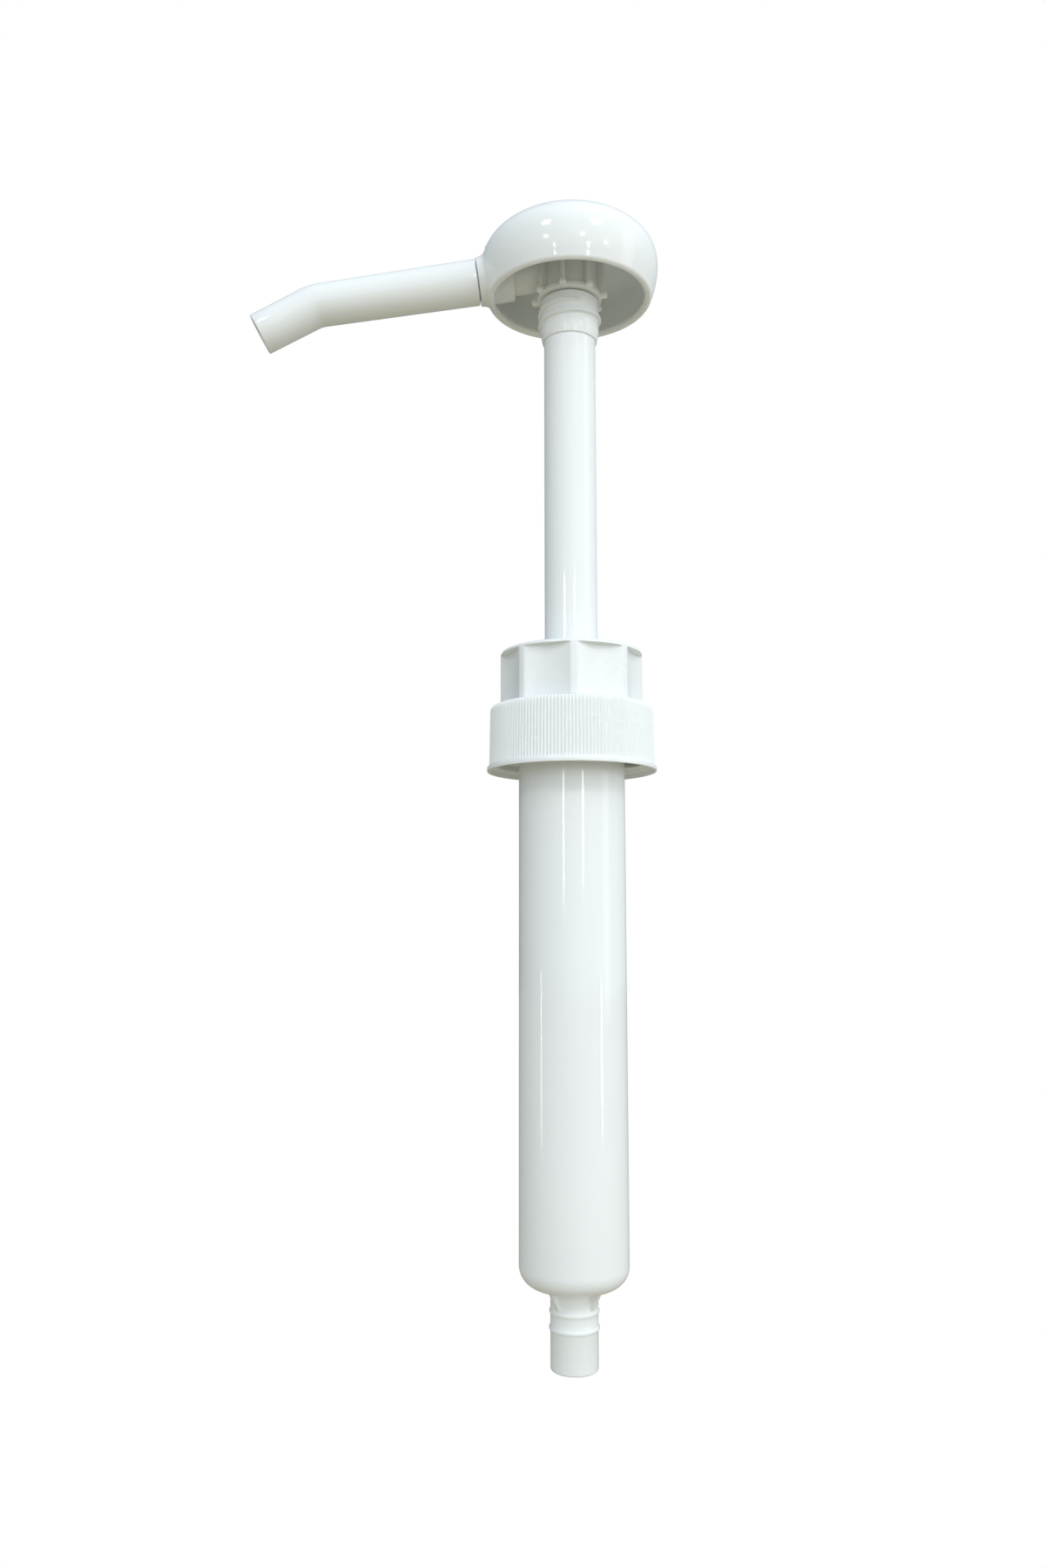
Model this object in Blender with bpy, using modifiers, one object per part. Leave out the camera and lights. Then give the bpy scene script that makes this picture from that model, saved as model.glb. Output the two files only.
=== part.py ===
"""A high-output pump dispenser for gallon jugs of sauce, as separate named pieces.

The frame: the pump's axis is Z, the origin is on that axis at the underside of the
neck gasket, where the container's neck presses, and the spout points to -X.
Every length below is in millimetres and becomes metres where a mesh is made.
"""

import math

import bmesh
import bpy
from mathutils import Matrix, Vector

MM = 0.001
GAP = 0.3  # between pieces that touch on the real pump

# Driving dimensions -----------------------------------------------------------
BORE_R = 11.4
BARREL_R = 13.2
BARREL_END_Z = -133.2
BARREL_CORNER = 5.0
NECK_R = 13.6
NECK_TOP_Z = 14.7
FLANGE_R = 18.2
FLANGE_Z = (1.8, 4.0)
INLET_R = 5.7
INLET_BORE_R = 4.2
INLET_END_Z = -152.0
INLET_BEADS_Z = (-138.6, -142.4)
INLET_BEAD = (0.25, 0.6)  # height, half its width
SEAT = (3.4, -134.8, -133.4)  # radius and ends of the throat under the inlet ball
VENT = (0.9, -5.0)  # radius, height of the air hole in the barrel's side
NECK_THREAD = (6.6, 3.0, 2.0, 0.8)  # first turn, pitch, turns, size
GUSSETS = 4

CAP_WALL_R = 18.9
CAP_HOLE_R = 15.5
CAP_TOP_R = 20.4
CAP_LOW_R = 20.6
CAP_LIP_R = 21.15
CAP_MOUTH = (20.45, 1.7)  # inner radius at the mouth, height of its lead-in
CAP_Z = (-10.0, 6.2)
CAP_PLATE_Z = 4.3
CAP_THREAD = (-7.6, 4.23, 1.25, 1.2)  # first turn, pitch, turns, size

NUT_R = 17.8
NUT_BORE_R = 14.8
NUT_Z = (6.5, 20.1)
NUT_PLATE_Z = 18.1
NUT_TUBE = (8.5, 10.0, 11.5)  # bore radius, outer radius, lower end
FLUTES = 8
LAND_WIDTH = 1.6
FLUTE_FLOOR_R = 15.9
FLUTE_TOP_Z = 19.1
NUT_THREAD = (8.1, 3.0, 2.0, 0.75)
NUT_LOCK_Z = 13.2

STEM_R = 6.65
STEM_BORE_R = 4.9
STEM_Z = (-12.7, 113.9)
LOCK_ROOT_R = 7.6
LOCK_Z = (105.4, 113.5)
LOCK_THREAD_Z = 106.7
LOCK_PITCH = 3.0
LOCK_TURNED = 1.9  # where the lock thread starts, in radians
LOCK_RING_R = 7.05
LOCK_RING_Z = 102.8

DOME_R = 23.1
DOME_WIDEST_Z = 123.0
DOME_CROWN = 12.2
DOME_FULLNESS = 2.25  # 2 is an ellipse; above 2 the shoulders fill out
DOME_UNDER = 21.6
DOME_RIM_Z = 114.25
DOME_SIDE_Z = (120.4, 117.6)  # heights of the points between the widest and the rim
DOME_WALL = 2.0
HUB_R = 7.5
HUB_BORE = (3.4, 100.0, 124.0)  # radius, ends
HUB_SPIGOT_Z = (102.0, 117.0)
HUB_RING_R = 8.4
HUB_Z = (114.2, 134.2)
HUB_RING_TOP_Z = 115.7
HUB_RIBS = 8
HUB_RIB_R = 9.2
HUB_RIB_SIZE = (2.6, 1.2, 18.0)
HUB_LUG_R = 10.0
HUB_LUG_SIZE = (3.0, 2.0)
HUB_RIB_TURN = 32.0

SPOUT_JOINT = Vector((-23.9, 0.0, 119.7))
SPOUT_BEND = Vector((-66.5, 0.0, 113.1))
SPOUT_TIP = Vector((-80.9, 0.0, 105.2))
SPOUT_BEND_R = 10.0
SPOUT_R = (5.75, 5.2)
SPOUT_BORE_R = 3.9
SPIGOT = (4.6, 7.2)  # radius, length inside the head
SOCKET = (4.9, 7.6)  # radius, depth
SOCKET_WALL_R = 6.0
SPOUT_BOSS = (6.1, 8.4, 3.2)  # radius at the mouth, radius inside, depth
CHANNEL_R = (4.7, 3.0)  # outside, bore
CHANNEL_LENGTH = 23.8

PISTON_Z = (-17.5, -3.0)
PISTON_CORE_R = 8.0
SEAT_HOLE_R = 2.2
CUP_UPPER_Z = (-9.6, -5.5)  # base, tip of the lip
CUP_LOWER_Z = (-11.7, -15.8)
CUP_INNER_R = 8.3
CUP_CLEARANCE = 0.2
OUTLET_BALL = (3.6, -12.1)  # radius, centre height
INLET_BALL = (4.6, -129.94)
CAGE_R = 7.2
CAGE_TOP_Z = -121.0
CAGE_WINDOW = (20.0, 5.0, 4.4)
CAGE_WINDOW_Z = -125.6
OUTLET_CAGE = (3.9, -5.2, -2.4)  # inner radius, ends
STEM_CLEARANCE = 0.2

# Flat rings: inner radius, outer radius, underside, top
BUSH_GASKET = (11.7, 13.5, 15.0, 15.9)
UPSTROKE_WASHER = (7.0, 10.8, -2.5, -1.0)
NECK_GASKET = (13.5, 18.0, 0.0, 1.5)
PISTON_RETAINER = (8.3, 10.6, -5.2, -3.0)
SPRING_WASHER = (8.3, 10.8, -17.3, -16.1)
SPRING_R = 9.55
SPRING_WIRE_R = 0.65
SPRING_Z = (-128.5, -17.6)
SPRING_TURNS = 12

FINE = 48
ROUND = 36
SMALL = 24

# Materials: name, colour, roughness, metallic ----------------------------------
FINISHES = {
    "white_plastic": ((0.87, 0.89, 0.89), 0.22, 0.0),
    "stem_plastic": ((0.88, 0.90, 0.90), 0.18, 0.0),
    "natural_plastic": ((0.80, 0.80, 0.76), 0.35, 0.0),
    "white_rubber": ((0.72, 0.71, 0.67), 0.6, 0.0),
    "spring_steel": ((0.55, 0.56, 0.58), 0.3, 1.0),
    "ball_steel": ((0.62, 0.63, 0.65), 0.12, 1.0),
}


# The scene, its collections and its materials ----------------------------------
def clear_scene():
    for item in list(bpy.data.objects):
        bpy.data.objects.remove(item, do_unlink=True)


def new_collection(name):
    collection = bpy.data.collections.new(name)
    bpy.context.scene.collection.children.link(collection)
    return collection


def make_material(name):
    colour, roughness, metallic = FINISHES[name]
    material = bpy.data.materials.new(name)
    material.use_nodes = True
    shader = material.node_tree.nodes["Principled BSDF"]
    shader.inputs["Base Color"].default_value = (*colour, 1.0)
    shader.inputs["Roughness"].default_value = roughness
    shader.inputs["Metallic"].default_value = metallic
    material.diffuse_color = (*colour, 1.0)
    return material


clear_scene()
PARTS = new_collection("condiment_pump_dispenser")
CUTTERS = new_collection("cutters")
MATERIALS = {name: make_material(name) for name in FINISHES}


# Shapes ------------------------------------------------------------------------
def link(name, data, collection):
    item = bpy.data.objects.new(name, data)
    collection.objects.link(item)
    if collection is CUTTERS:
        item.hide_render = True
        item.display_type = "WIRE"
    return item


def arc(centre, radius, start, end, steps):
    """Points on a circle in the profile plane, from one angle to another, in degrees."""
    points = []
    for step in range(steps + 1):
        angle = math.radians(start + (end - start) * step / steps)
        points.append((centre[0] + radius * math.cos(angle), centre[1] + radius * math.sin(angle)))
    return points


def turned(name, profile, steps=SMALL, closed=True):
    """Turns a profile of (radius, height) points about Z; it runs down its outer side."""
    mesh = bpy.data.meshes.new(name)
    bm = bmesh.new()
    points = [bm.verts.new((radius * MM, 0.0, height * MM)) for radius, height in profile]
    for first, second in zip(points, points[1:]):
        bm.edges.new((first, second))
    if closed:
        bm.edges.new((points[-1], points[0]))
    bm.to_mesh(mesh)
    bm.free()
    item = link(name, mesh, PARTS)
    screw = item.modifiers.new("turn", "SCREW")
    screw.steps = steps
    screw.render_steps = steps
    screw.use_merge_vertices = True
    screw.merge_threshold = 0.00001
    return item


def ring(name, inner, outer, low, high, steps=SMALL):
    return turned(name, [(outer, high), (outer, low), (inner, low), (inner, high)], steps)


def rod(name, start, end, radii, sides=SMALL, collection=None):
    """A straight round bar, or a cone, from one point to another."""
    along = (end - start) * MM
    bm = bmesh.new()
    turn = along.to_track_quat("Z", "Y").to_matrix().to_4x4()
    place = Matrix.Translation((start + end) * 0.5 * MM) @ turn
    bmesh.ops.create_cone(
        bm, cap_ends=True, segments=sides, radius1=radii[0] * MM, radius2=radii[1] * MM,
        depth=along.length, matrix=place,
    )
    mesh = bpy.data.meshes.new(name)
    bm.to_mesh(mesh)
    bm.free()
    return link(name, mesh, collection or PARTS)


def block(name, centre, size, turn=0.0, collection=None):
    """A box of a given size, turned about the pump's axis."""
    bm = bmesh.new()
    scale = Matrix.Diagonal((*(Vector(size) * MM), 1.0))
    matrix = Matrix.Rotation(turn, 4, "Z") @ Matrix.Translation(Vector(centre) * MM) @ scale
    bmesh.ops.create_cube(bm, size=1.0, matrix=matrix)
    mesh = bpy.data.meshes.new(name)
    bm.to_mesh(mesh)
    bm.free()
    return link(name, mesh, collection or PARTS)


def tube(name, points, radii, resolution, collection=None):
    """A round bar along a line of points, as a mesh with closed ends."""
    data = bpy.data.curves.new(name, "CURVE")
    data.dimensions = "3D"
    data.bevel_depth = MM
    data.bevel_resolution = resolution
    data.use_fill_caps = True
    spline = data.splines.new("POLY")
    spline.points.add(len(points) - 1)
    for place, point, radius in zip(spline.points, points, radii):
        place.co = (*(Vector(point) * MM), 1.0)
        place.radius = radius
    guide = link(name + "_guide", data, CUTTERS)
    graph = bpy.context.evaluated_depsgraph_get()
    mesh = bpy.data.meshes.new_from_object(guide.evaluated_get(graph))
    matrix = guide.matrix_world.copy()
    bpy.data.objects.remove(guide, do_unlink=True)
    bm = bmesh.new()
    bm.from_mesh(mesh)
    bmesh.ops.remove_doubles(bm, verts=bm.verts, dist=0.000001)
    bmesh.ops.recalc_face_normals(bm, faces=bm.faces)
    bm.to_mesh(mesh)
    bm.free()
    item = link(name, mesh, collection or PARTS)
    item.matrix_world = matrix
    return item


def helix_points(radius, low, pitch, turns, per_turn, start=0.0):
    points = []
    for step in range(round(turns * per_turn) + 1):
        angle = start + 2.0 * math.pi * step / per_turn
        height = low + pitch * step / per_turn
        points.append((radius * math.cos(angle), radius * math.sin(angle), height))
    return points


def thread(name, radius, low, pitch, turns, size, start=0.0):
    """A rounded screw thread whose ends run out to a point."""
    points = helix_points(radius, low, pitch, turns, 18, start)
    radii = [size] * len(points)
    radii[0] = radii[-1] = 0.35 * size
    radii[1] = radii[-2] = 0.75 * size
    return tube(name, points, radii, 1, CUTTERS)


def combine(item, others, operation):
    for other in others:
        change = item.modifiers.new(other.name, "BOOLEAN")
        change.operation = operation
        change.solver = "EXACT"
        change.object = other
        if other.name not in CUTTERS.objects:
            PARTS.objects.unlink(other)
            CUTTERS.objects.link(other)
        other.hide_render = True
        other.display_type = "WIRE"
    return item


def along_spout(distance):
    """A point on the line of the channel and the straight spout, from the joint outwards."""
    return SPOUT_JOINT + (SPOUT_BEND - SPOUT_JOINT).normalized() * distance


# Body of the pump --------------------------------------------------------------
def make_barrel():
    bead, half_bead = INLET_BEAD
    profile = [(NECK_R, NECK_TOP_Z), (NECK_R, FLANGE_Z[1]), (FLANGE_R, FLANGE_Z[1])]
    profile += [(FLANGE_R, FLANGE_Z[0]), (BARREL_R, FLANGE_Z[0])]
    corner = (BARREL_R - BARREL_CORNER, BARREL_END_Z + BARREL_CORNER)
    profile += arc(corner, BARREL_CORNER, 0, -90, 4)
    profile.append((INLET_R, BARREL_END_Z))
    for height in INLET_BEADS_Z:
        profile += [(INLET_R, height + half_bead), (INLET_R + bead, height)]
        profile.append((INLET_R, height - half_bead))
    profile += [(INLET_R, INLET_END_Z + 0.5), (INLET_R - 0.4, INLET_END_Z)]
    seat_r, seat_low, seat_high = SEAT
    profile += [(INLET_BORE_R, INLET_END_Z), (INLET_BORE_R, seat_low - 0.8), (seat_r, seat_low)]
    profile += [(seat_r, seat_high), (seat_r + 2.0, seat_high + 2.0)]
    wall = BARREL_R - BORE_R
    profile += arc(corner, BARREL_CORNER - wall, -90, 0, 3)
    profile.append((BORE_R, NECK_TOP_Z))
    barrel = turned("barrel", profile, ROUND)
    neck_thread = thread("barrel_neck_thread", NECK_R, *NECK_THREAD)
    gussets = [make_gusset(index) for index in range(GUSSETS)]
    inside, outside = Vector((0, 10, VENT[1])), Vector((0, 15, VENT[1]))
    vent = rod("barrel_vent", inside, outside, (VENT[0], VENT[0]), 12, CUTTERS)
    combine(barrel, [neck_thread, *gussets], "UNION")
    return combine(barrel, [vent], "DIFFERENCE")


def make_gusset(index):
    """A triangular web between the barrel's bottom and its inlet tube."""
    data = bpy.data.curves.new("gusset", "CURVE")
    data.dimensions = "2D"
    data.fill_mode = "BOTH"
    data.extrude = 0.6 * MM
    spline = data.splines.new("POLY")
    outline = [(4.9, -132.4), (8.4, -132.4), (8.4, -133.5), (5.9, -137.6), (4.9, -137.6)]
    spline.points.add(len(outline) - 1)
    for place, (radius, height) in zip(spline.points, outline):
        place.co = (radius * MM, height * MM, 0.0, 1.0)
    spline.use_cyclic_u = True
    guide = link("gusset_guide", data, CUTTERS)
    guide.rotation_euler = (math.pi / 2, 0.0, math.radians(45 + 360 / GUSSETS * index))
    bpy.context.view_layer.update()
    graph = bpy.context.evaluated_depsgraph_get()
    mesh = bpy.data.meshes.new_from_object(guide.evaluated_get(graph))
    matrix = guide.matrix_world.copy()
    bpy.data.objects.remove(guide, do_unlink=True)
    bm = bmesh.new()
    bm.from_mesh(mesh)
    bmesh.ops.remove_doubles(bm, verts=bm.verts, dist=0.000001)
    bm.to_mesh(mesh)
    bm.free()
    item = link(f"gusset_{index}", mesh, CUTTERS)
    item.matrix_world = matrix
    return item


def make_closure_cap():
    profile = arc((CAP_TOP_R - 1.0, CAP_Z[1] - 1.0), 1.0, 90, 0, 3)
    profile += [(CAP_LOW_R, CAP_Z[0] + 1.2), (CAP_LIP_R, CAP_Z[0] + 1.2), (CAP_LIP_R, CAP_Z[0])]
    profile += [(CAP_MOUTH[0], CAP_Z[0]), (CAP_WALL_R, CAP_Z[0] + CAP_MOUTH[1])]
    profile += [(CAP_WALL_R, CAP_PLATE_Z), (CAP_HOLE_R, CAP_PLATE_Z)]
    profile.append((CAP_HOLE_R, CAP_Z[1]))
    cap = turned("closure_cap", profile, FINE)
    neck_thread = thread("cap_thread", CAP_WALL_R, *CAP_THREAD)
    return combine(cap, [neck_thread], "UNION")


def make_collar_nut():
    bore, outer, low = NUT_TUBE
    profile = arc((NUT_R - 1.0, NUT_Z[1] - 1.0), 1.0, 90, 0, 3)
    profile += [(NUT_R, NUT_Z[0]), (NUT_BORE_R, NUT_Z[0]), (NUT_BORE_R, NUT_PLATE_Z)]
    profile += [(outer, NUT_PLATE_Z), (outer, low), (bore, low), (bore, NUT_Z[1])]
    nut = turned("collar_nut", profile, FINE)
    land = LAND_WIDTH / NUT_R
    half = math.pi / FLUTES - land / 2
    chord = NUT_R * math.sin(half)
    sagitta = NUT_R * math.cos(half) - FLUTE_FLOOR_R
    radius = (chord**2 + sagitta**2) / (2 * sagitta)
    reach = FLUTE_FLOOR_R + radius
    cutters = []
    for index in range(FLUTES):
        angle = 2 * math.pi * (index + 0.5) / FLUTES
        x, y = reach * math.cos(angle), reach * math.sin(angle)
        low_end = Vector((x, y, NUT_Z[0] - 3))
        high_end = Vector((x, y, FLUTE_TOP_Z))
        cutters.append(rod(f"flute_{index}", low_end, high_end, (radius, radius), FINE, CUTTERS))
    combine(nut, cutters, "DIFFERENCE")
    barrel_thread = thread("nut_thread", NUT_BORE_R, *NUT_THREAD)
    lock_thread = thread("nut_lock_thread", bore, NUT_LOCK_Z, LOCK_PITCH, 1.8, 0.55)
    return combine(nut, [barrel_thread, lock_thread], "UNION")


def make_stem_bush():
    profile = [(14.2, 17.8), (14.2, 16.2), (11.1, 16.2), (11.1, 6.8), (8.6, 6.8), (8.6, -0.7)]
    bore = STEM_R + STEM_CLEARANCE
    profile += [(bore, -0.7), (bore, 8.5), (10.4, 8.5), (10.4, 17.8)]
    return turned("stem_bush", profile)


def make_stem_wiper():
    lip = STEM_R + STEM_CLEARANCE
    profile = [(10.1, 11.2), (10.1, 8.8), (lip + 0.6, 8.8), (lip, 9.6), (lip, 10.4)]
    profile.append((lip + 0.6, 11.2))
    return turned("stem_wiper", profile)


def make_ball_cage():
    inside = INLET_BALL[0] + 1.2
    profile = [(CAGE_R, CAGE_TOP_Z), (CAGE_R, -128.8), (10.9, -128.8), (10.5, -129.8)]
    profile += [(9.0, -131.1), (inside, -131.1), (inside, -122.6), (2.5, -122.6)]
    profile.append((2.5, CAGE_TOP_Z))
    cage = turned("ball_cage", profile)
    windows = []
    for index in range(2):
        turn = math.pi / 2 * index
        centre = (0, 0, CAGE_WINDOW_Z)
        windows.append(block(f"cage_window_{index}", centre, CAGE_WINDOW, turn, CUTTERS))
    return combine(cage, windows, "DIFFERENCE")


def make_spring():
    """A compression spring whose end turns are closed."""
    per_turn = 12
    count = SPRING_TURNS * per_turn
    low = SPRING_Z[0] + SPRING_WIRE_R
    rise = SPRING_Z[1] - SPRING_WIRE_R - low
    closed = 2.15 * SPRING_WIRE_R
    open_pitch = (rise - 2 * closed) / (SPRING_TURNS - 2)
    points = []
    height = low
    for step in range(count + 1):
        angle = 2 * math.pi * step / per_turn
        points.append((SPRING_R * math.cos(angle), SPRING_R * math.sin(angle), height))
        at_end = step < per_turn or step >= count - per_turn
        height += (closed if at_end else open_pitch) / per_turn
    return tube("return_spring", points, [SPRING_WIRE_R] * len(points), 2)


def make_ball(name, radius, height):
    bm = bmesh.new()
    bmesh.ops.create_uvsphere(bm, u_segments=16, v_segments=10, radius=radius * MM)
    mesh = bpy.data.meshes.new(name)
    bm.to_mesh(mesh)
    bm.free()
    ball = link(name, mesh, PARTS)
    ball.location = (0.0, 0.0, height * MM)
    return ball


# Piston ------------------------------------------------------------------------
def make_piston_core():
    outer = PISTON_CORE_R
    profile = [(outer, PISTON_Z[1]), (outer, -9.9), (10.9, -9.9), (10.9, -11.4), (outer, -11.4)]
    profile += [(outer, PISTON_Z[0]), (SEAT_HOLE_R, PISTON_Z[0]), (SEAT_HOLE_R, -15.4)]
    profile += [(4.6, STEM_Z[0] - GAP), (STEM_R + GAP, STEM_Z[0] - GAP), (STEM_R + GAP, PISTON_Z[1])]
    return turned("piston_core", profile)


def make_piston_cup(name, base, tip):
    """A lip seal: its base is at one height and its thin lip ends at the other."""
    wall = BORE_R - CUP_CLEARANCE
    step = 1.4 if tip > base else -1.4
    profile = [(wall, tip), (wall - 0.5, base), (CUP_INNER_R, base), (CUP_INNER_R, base + step)]
    profile += [(9.6, base + step), (wall - 0.6, tip)]
    if tip < base:
        profile.reverse()
    return turned(name, profile, ROUND)


# Head --------------------------------------------------------------------------
def dome_profile(inset, from_crown):
    """Half of the dome's outline, a distance in from its outer face, crown first or last."""
    points = []
    for step in range(10):
        angle = math.radians(90 - 10 * step)
        across, up = math.cos(angle), math.sin(angle)
        size = (across**DOME_FULLNESS + up**DOME_FULLNESS) ** (-1 / DOME_FULLNESS)
        radius = (DOME_R - inset) * across * size
        points.append((radius, DOME_WIDEST_Z + (DOME_CROWN - inset) * up * size))
    for height in (*DOME_SIDE_Z, DOME_RIM_Z + 0.4):
        drop = (DOME_WIDEST_Z - height) / DOME_UNDER
        points.append((DOME_R * math.sqrt(1 - drop**2) - inset, height))
    return points if from_crown else points[::-1]


def make_stem():
    profile = [(LOCK_ROOT_R - 0.4, STEM_Z[1]), (LOCK_ROOT_R, LOCK_Z[1])]
    profile += [(LOCK_ROOT_R, LOCK_Z[0]), (LOCK_RING_R, LOCK_RING_Z)]
    profile += [(STEM_R, LOCK_RING_Z - 0.2), (STEM_R, STEM_Z[0])]
    profile += [(STEM_BORE_R, STEM_Z[0]), (STEM_BORE_R, STEM_Z[1])]
    stem = turned("stem", profile, ROUND)
    lock = thread("stem_lock_thread", LOCK_ROOT_R, LOCK_THREAD_Z, LOCK_PITCH, 1.5, 0.6, LOCK_TURNED)
    return combine(stem, [lock], "UNION")


def make_head_dome():
    outer = dome_profile(0.0, True)
    inner = dome_profile(DOME_WALL, False)
    rim_radius = (outer[-1][0] + inner[0][0]) / 2
    rim = [(outer[-1][0] - 0.45, DOME_RIM_Z), (rim_radius, DOME_RIM_Z - 0.15)]
    rim.append((inner[0][0] + 0.45, DOME_RIM_Z))
    dome = turned("head_dome", outer + rim + inner, ROUND, closed=False)
    spigot_r = STEM_BORE_R - GAP
    inward = along_spout(-CHANNEL_LENGTH - 0.4)
    ring_low, ring_high = Vector((0, 0, HUB_Z[0])), Vector((0, 0, HUB_RING_TOP_Z))
    spigot_low, spigot_high = Vector((0, 0, HUB_SPIGOT_Z[0])), Vector((0, 0, HUB_SPIGOT_Z[1]))
    wall_end = along_spout(-SOCKET[1] - 1.3)
    additions = [
        rod("hub", Vector((0, 0, HUB_Z[0])), Vector((0, 0, HUB_Z[1])), (HUB_R, HUB_R)),
        rod("hub_ring", ring_low, ring_high, (HUB_RING_R, HUB_RING_R)),
        rod("hub_spigot", spigot_low, spigot_high, (spigot_r, spigot_r)),
        rod("channel", along_spout(-5), inward, (CHANNEL_R[0], CHANNEL_R[0])),
        rod("socket_wall", along_spout(-1), wall_end, (SOCKET_WALL_R, SOCKET_WALL_R)),
        rod("spout_boss", along_spout(0), along_spout(-SPOUT_BOSS[2]), SPOUT_BOSS[:2]),
    ]
    rib_centre = (HUB_RIB_R - HUB_RIB_SIZE[0] / 2, 0, HUB_RING_TOP_Z + HUB_RIB_SIZE[2] / 2 - 0.5)
    lug_size = (*HUB_LUG_SIZE, HUB_RING_TOP_Z - HUB_Z[0])
    lug_centre = (HUB_LUG_R - lug_size[0] / 2, 0, (HUB_Z[0] + HUB_RING_TOP_Z) / 2 + 0.1)
    for index in range(HUB_RIBS):
        turn = math.radians(HUB_RIB_TURN + 360 * index / HUB_RIBS)
        additions.append(block(f"hub_rib_{index}", rib_centre, HUB_RIB_SIZE, turn))
        additions.append(block(f"hub_lug_{index}", lug_centre, lug_size, turn))
    combine(dome, additions, "UNION")
    bore_low, bore_high = Vector((0, 0, HUB_BORE[1])), Vector((0, 0, HUB_BORE[2]))
    mouth = along_spout(2)
    channel_end, socket_end = along_spout(-CHANNEL_LENGTH), along_spout(-SOCKET[1])
    cutters = [
        rod("hub_bore", bore_low, bore_high, (HUB_BORE[0],) * 2, SMALL, CUTTERS),
        rod("channel_bore", mouth, channel_end, (CHANNEL_R[1],) * 2, SMALL, CUTTERS),
        rod("spout_socket", mouth, socket_end, (SOCKET[0],) * 2, SMALL, CUTTERS),
    ]
    return combine(dome, cutters, "DIFFERENCE")


def spout_path(start, end_extra):
    """Points from a distance along the straight run, round the bend, to past the tip."""
    first = (SPOUT_BEND - SPOUT_JOINT).normalized()
    second = (SPOUT_TIP - SPOUT_BEND).normalized()
    turn = first.angle(second)
    tangent = SPOUT_BEND_R * math.tan(turn / 2)
    points = [along_spout(start)]
    inner_normal = (second - first).normalized()
    centre = SPOUT_BEND + inner_normal * (SPOUT_BEND_R / math.cos(turn / 2))
    entry = SPOUT_BEND - first * tangent - centre
    axis = first.cross(second).normalized()
    for step in range(5):
        points.append(centre + Matrix.Rotation(turn * step / 4, 3, axis) @ entry)
    points.append(SPOUT_TIP + second * end_extra)
    return points


def make_spout():
    path = spout_path(GAP, 0.0)
    span = (SPOUT_TIP - SPOUT_BEND).length + (SPOUT_BEND - SPOUT_JOINT).length
    radii = []
    travelled = 0.0
    for index, point in enumerate(path):
        if index:
            travelled += (point - path[index - 1]).length
        radii.append(SPOUT_R[0] + (SPOUT_R[1] - SPOUT_R[0]) * travelled / span)
    spout = tube("spout", path, radii, 10)
    spigot = rod("spout_spigot", along_spout(-SPIGOT[1]), along_spout(2.5), (SPIGOT[0], SPIGOT[0]))
    combine(spout, [spigot], "UNION")
    bore_path = spout_path(-9.0, 3.0)
    bore = tube("spout_bore", bore_path, [SPOUT_BORE_R] * len(bore_path), 8, CUTTERS)
    return combine(spout, [bore], "DIFFERENCE")


def make_outlet_cage():
    """A ring inside the stem whose cross bars keep the outlet ball down."""
    inner, low, high = OUTLET_CAGE
    cage = ring("outlet_cage", inner, STEM_BORE_R - GAP, low, high)
    bars = []
    for index in range(2):
        turn = math.pi / 2 * index
        bars.append(block(f"cage_bar_{index}", (0, 0, -4.5), (8.6, 1.2, 1.4 - 0.1 * index), turn))
    return combine(cage, bars, "UNION")


# Assembly ----------------------------------------------------------------------
def frame(name, parent=None):
    """An empty on the pump's axis that a moving group hangs from."""
    empty = link(name, None, PARTS)
    empty.empty_display_size = 0.01
    empty.parent = parent
    return empty


def finish(item, material, parent):
    item.data.materials.clear()
    item.data.materials.append(MATERIALS[material])
    item.data.shade_smooth()
    item.data.set_sharp_from_angle(angle=math.radians(35))
    item.parent = parent


def build():
    body = frame("pump_frame")
    closure = frame("closure_frame", body)
    piston = frame("piston_frame", body)
    head = frame("head_frame", piston)

    finish(make_barrel(), "white_plastic", body)
    finish(make_collar_nut(), "white_plastic", body)
    finish(make_stem_bush(), "natural_plastic", body)
    finish(make_stem_wiper(), "white_rubber", body)
    finish(ring("bush_gasket", *BUSH_GASKET), "white_rubber", body)
    finish(ring("upstroke_washer", *UPSTROKE_WASHER), "white_rubber", body)
    finish(ring("neck_gasket", *NECK_GASKET, ROUND), "white_rubber", body)
    finish(make_ball_cage(), "natural_plastic", body)
    finish(make_spring(), "spring_steel", body)
    finish(make_ball("inlet_ball", *INLET_BALL), "ball_steel", body)

    finish(make_closure_cap(), "white_plastic", closure)

    finish(make_piston_core(), "natural_plastic", piston)
    finish(make_piston_cup("piston_cup_upper", *CUP_UPPER_Z), "white_rubber", piston)
    finish(make_piston_cup("piston_cup_lower", *CUP_LOWER_Z), "white_rubber", piston)
    finish(ring("piston_retainer", *PISTON_RETAINER), "natural_plastic", piston)
    finish(ring("spring_washer", *SPRING_WASHER), "natural_plastic", piston)

    finish(make_stem(), "stem_plastic", head)
    finish(make_head_dome(), "white_plastic", head)
    finish(make_spout(), "white_plastic", head)
    finish(make_outlet_cage(), "natural_plastic", head)
    finish(make_ball("outlet_ball", *OUTLET_BALL), "ball_steel", head)


build()
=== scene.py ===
# %% [markdown]
# # A jug pump for sauce, in white plastic
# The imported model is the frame: it says where every piece of the pump is and how it moves.
# This script keeps those places and gives each piece its finished surface. It starts by loading the
# frame and noting its box, because nothing made later may outgrow it.

# %% Load the frame
import math

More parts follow.
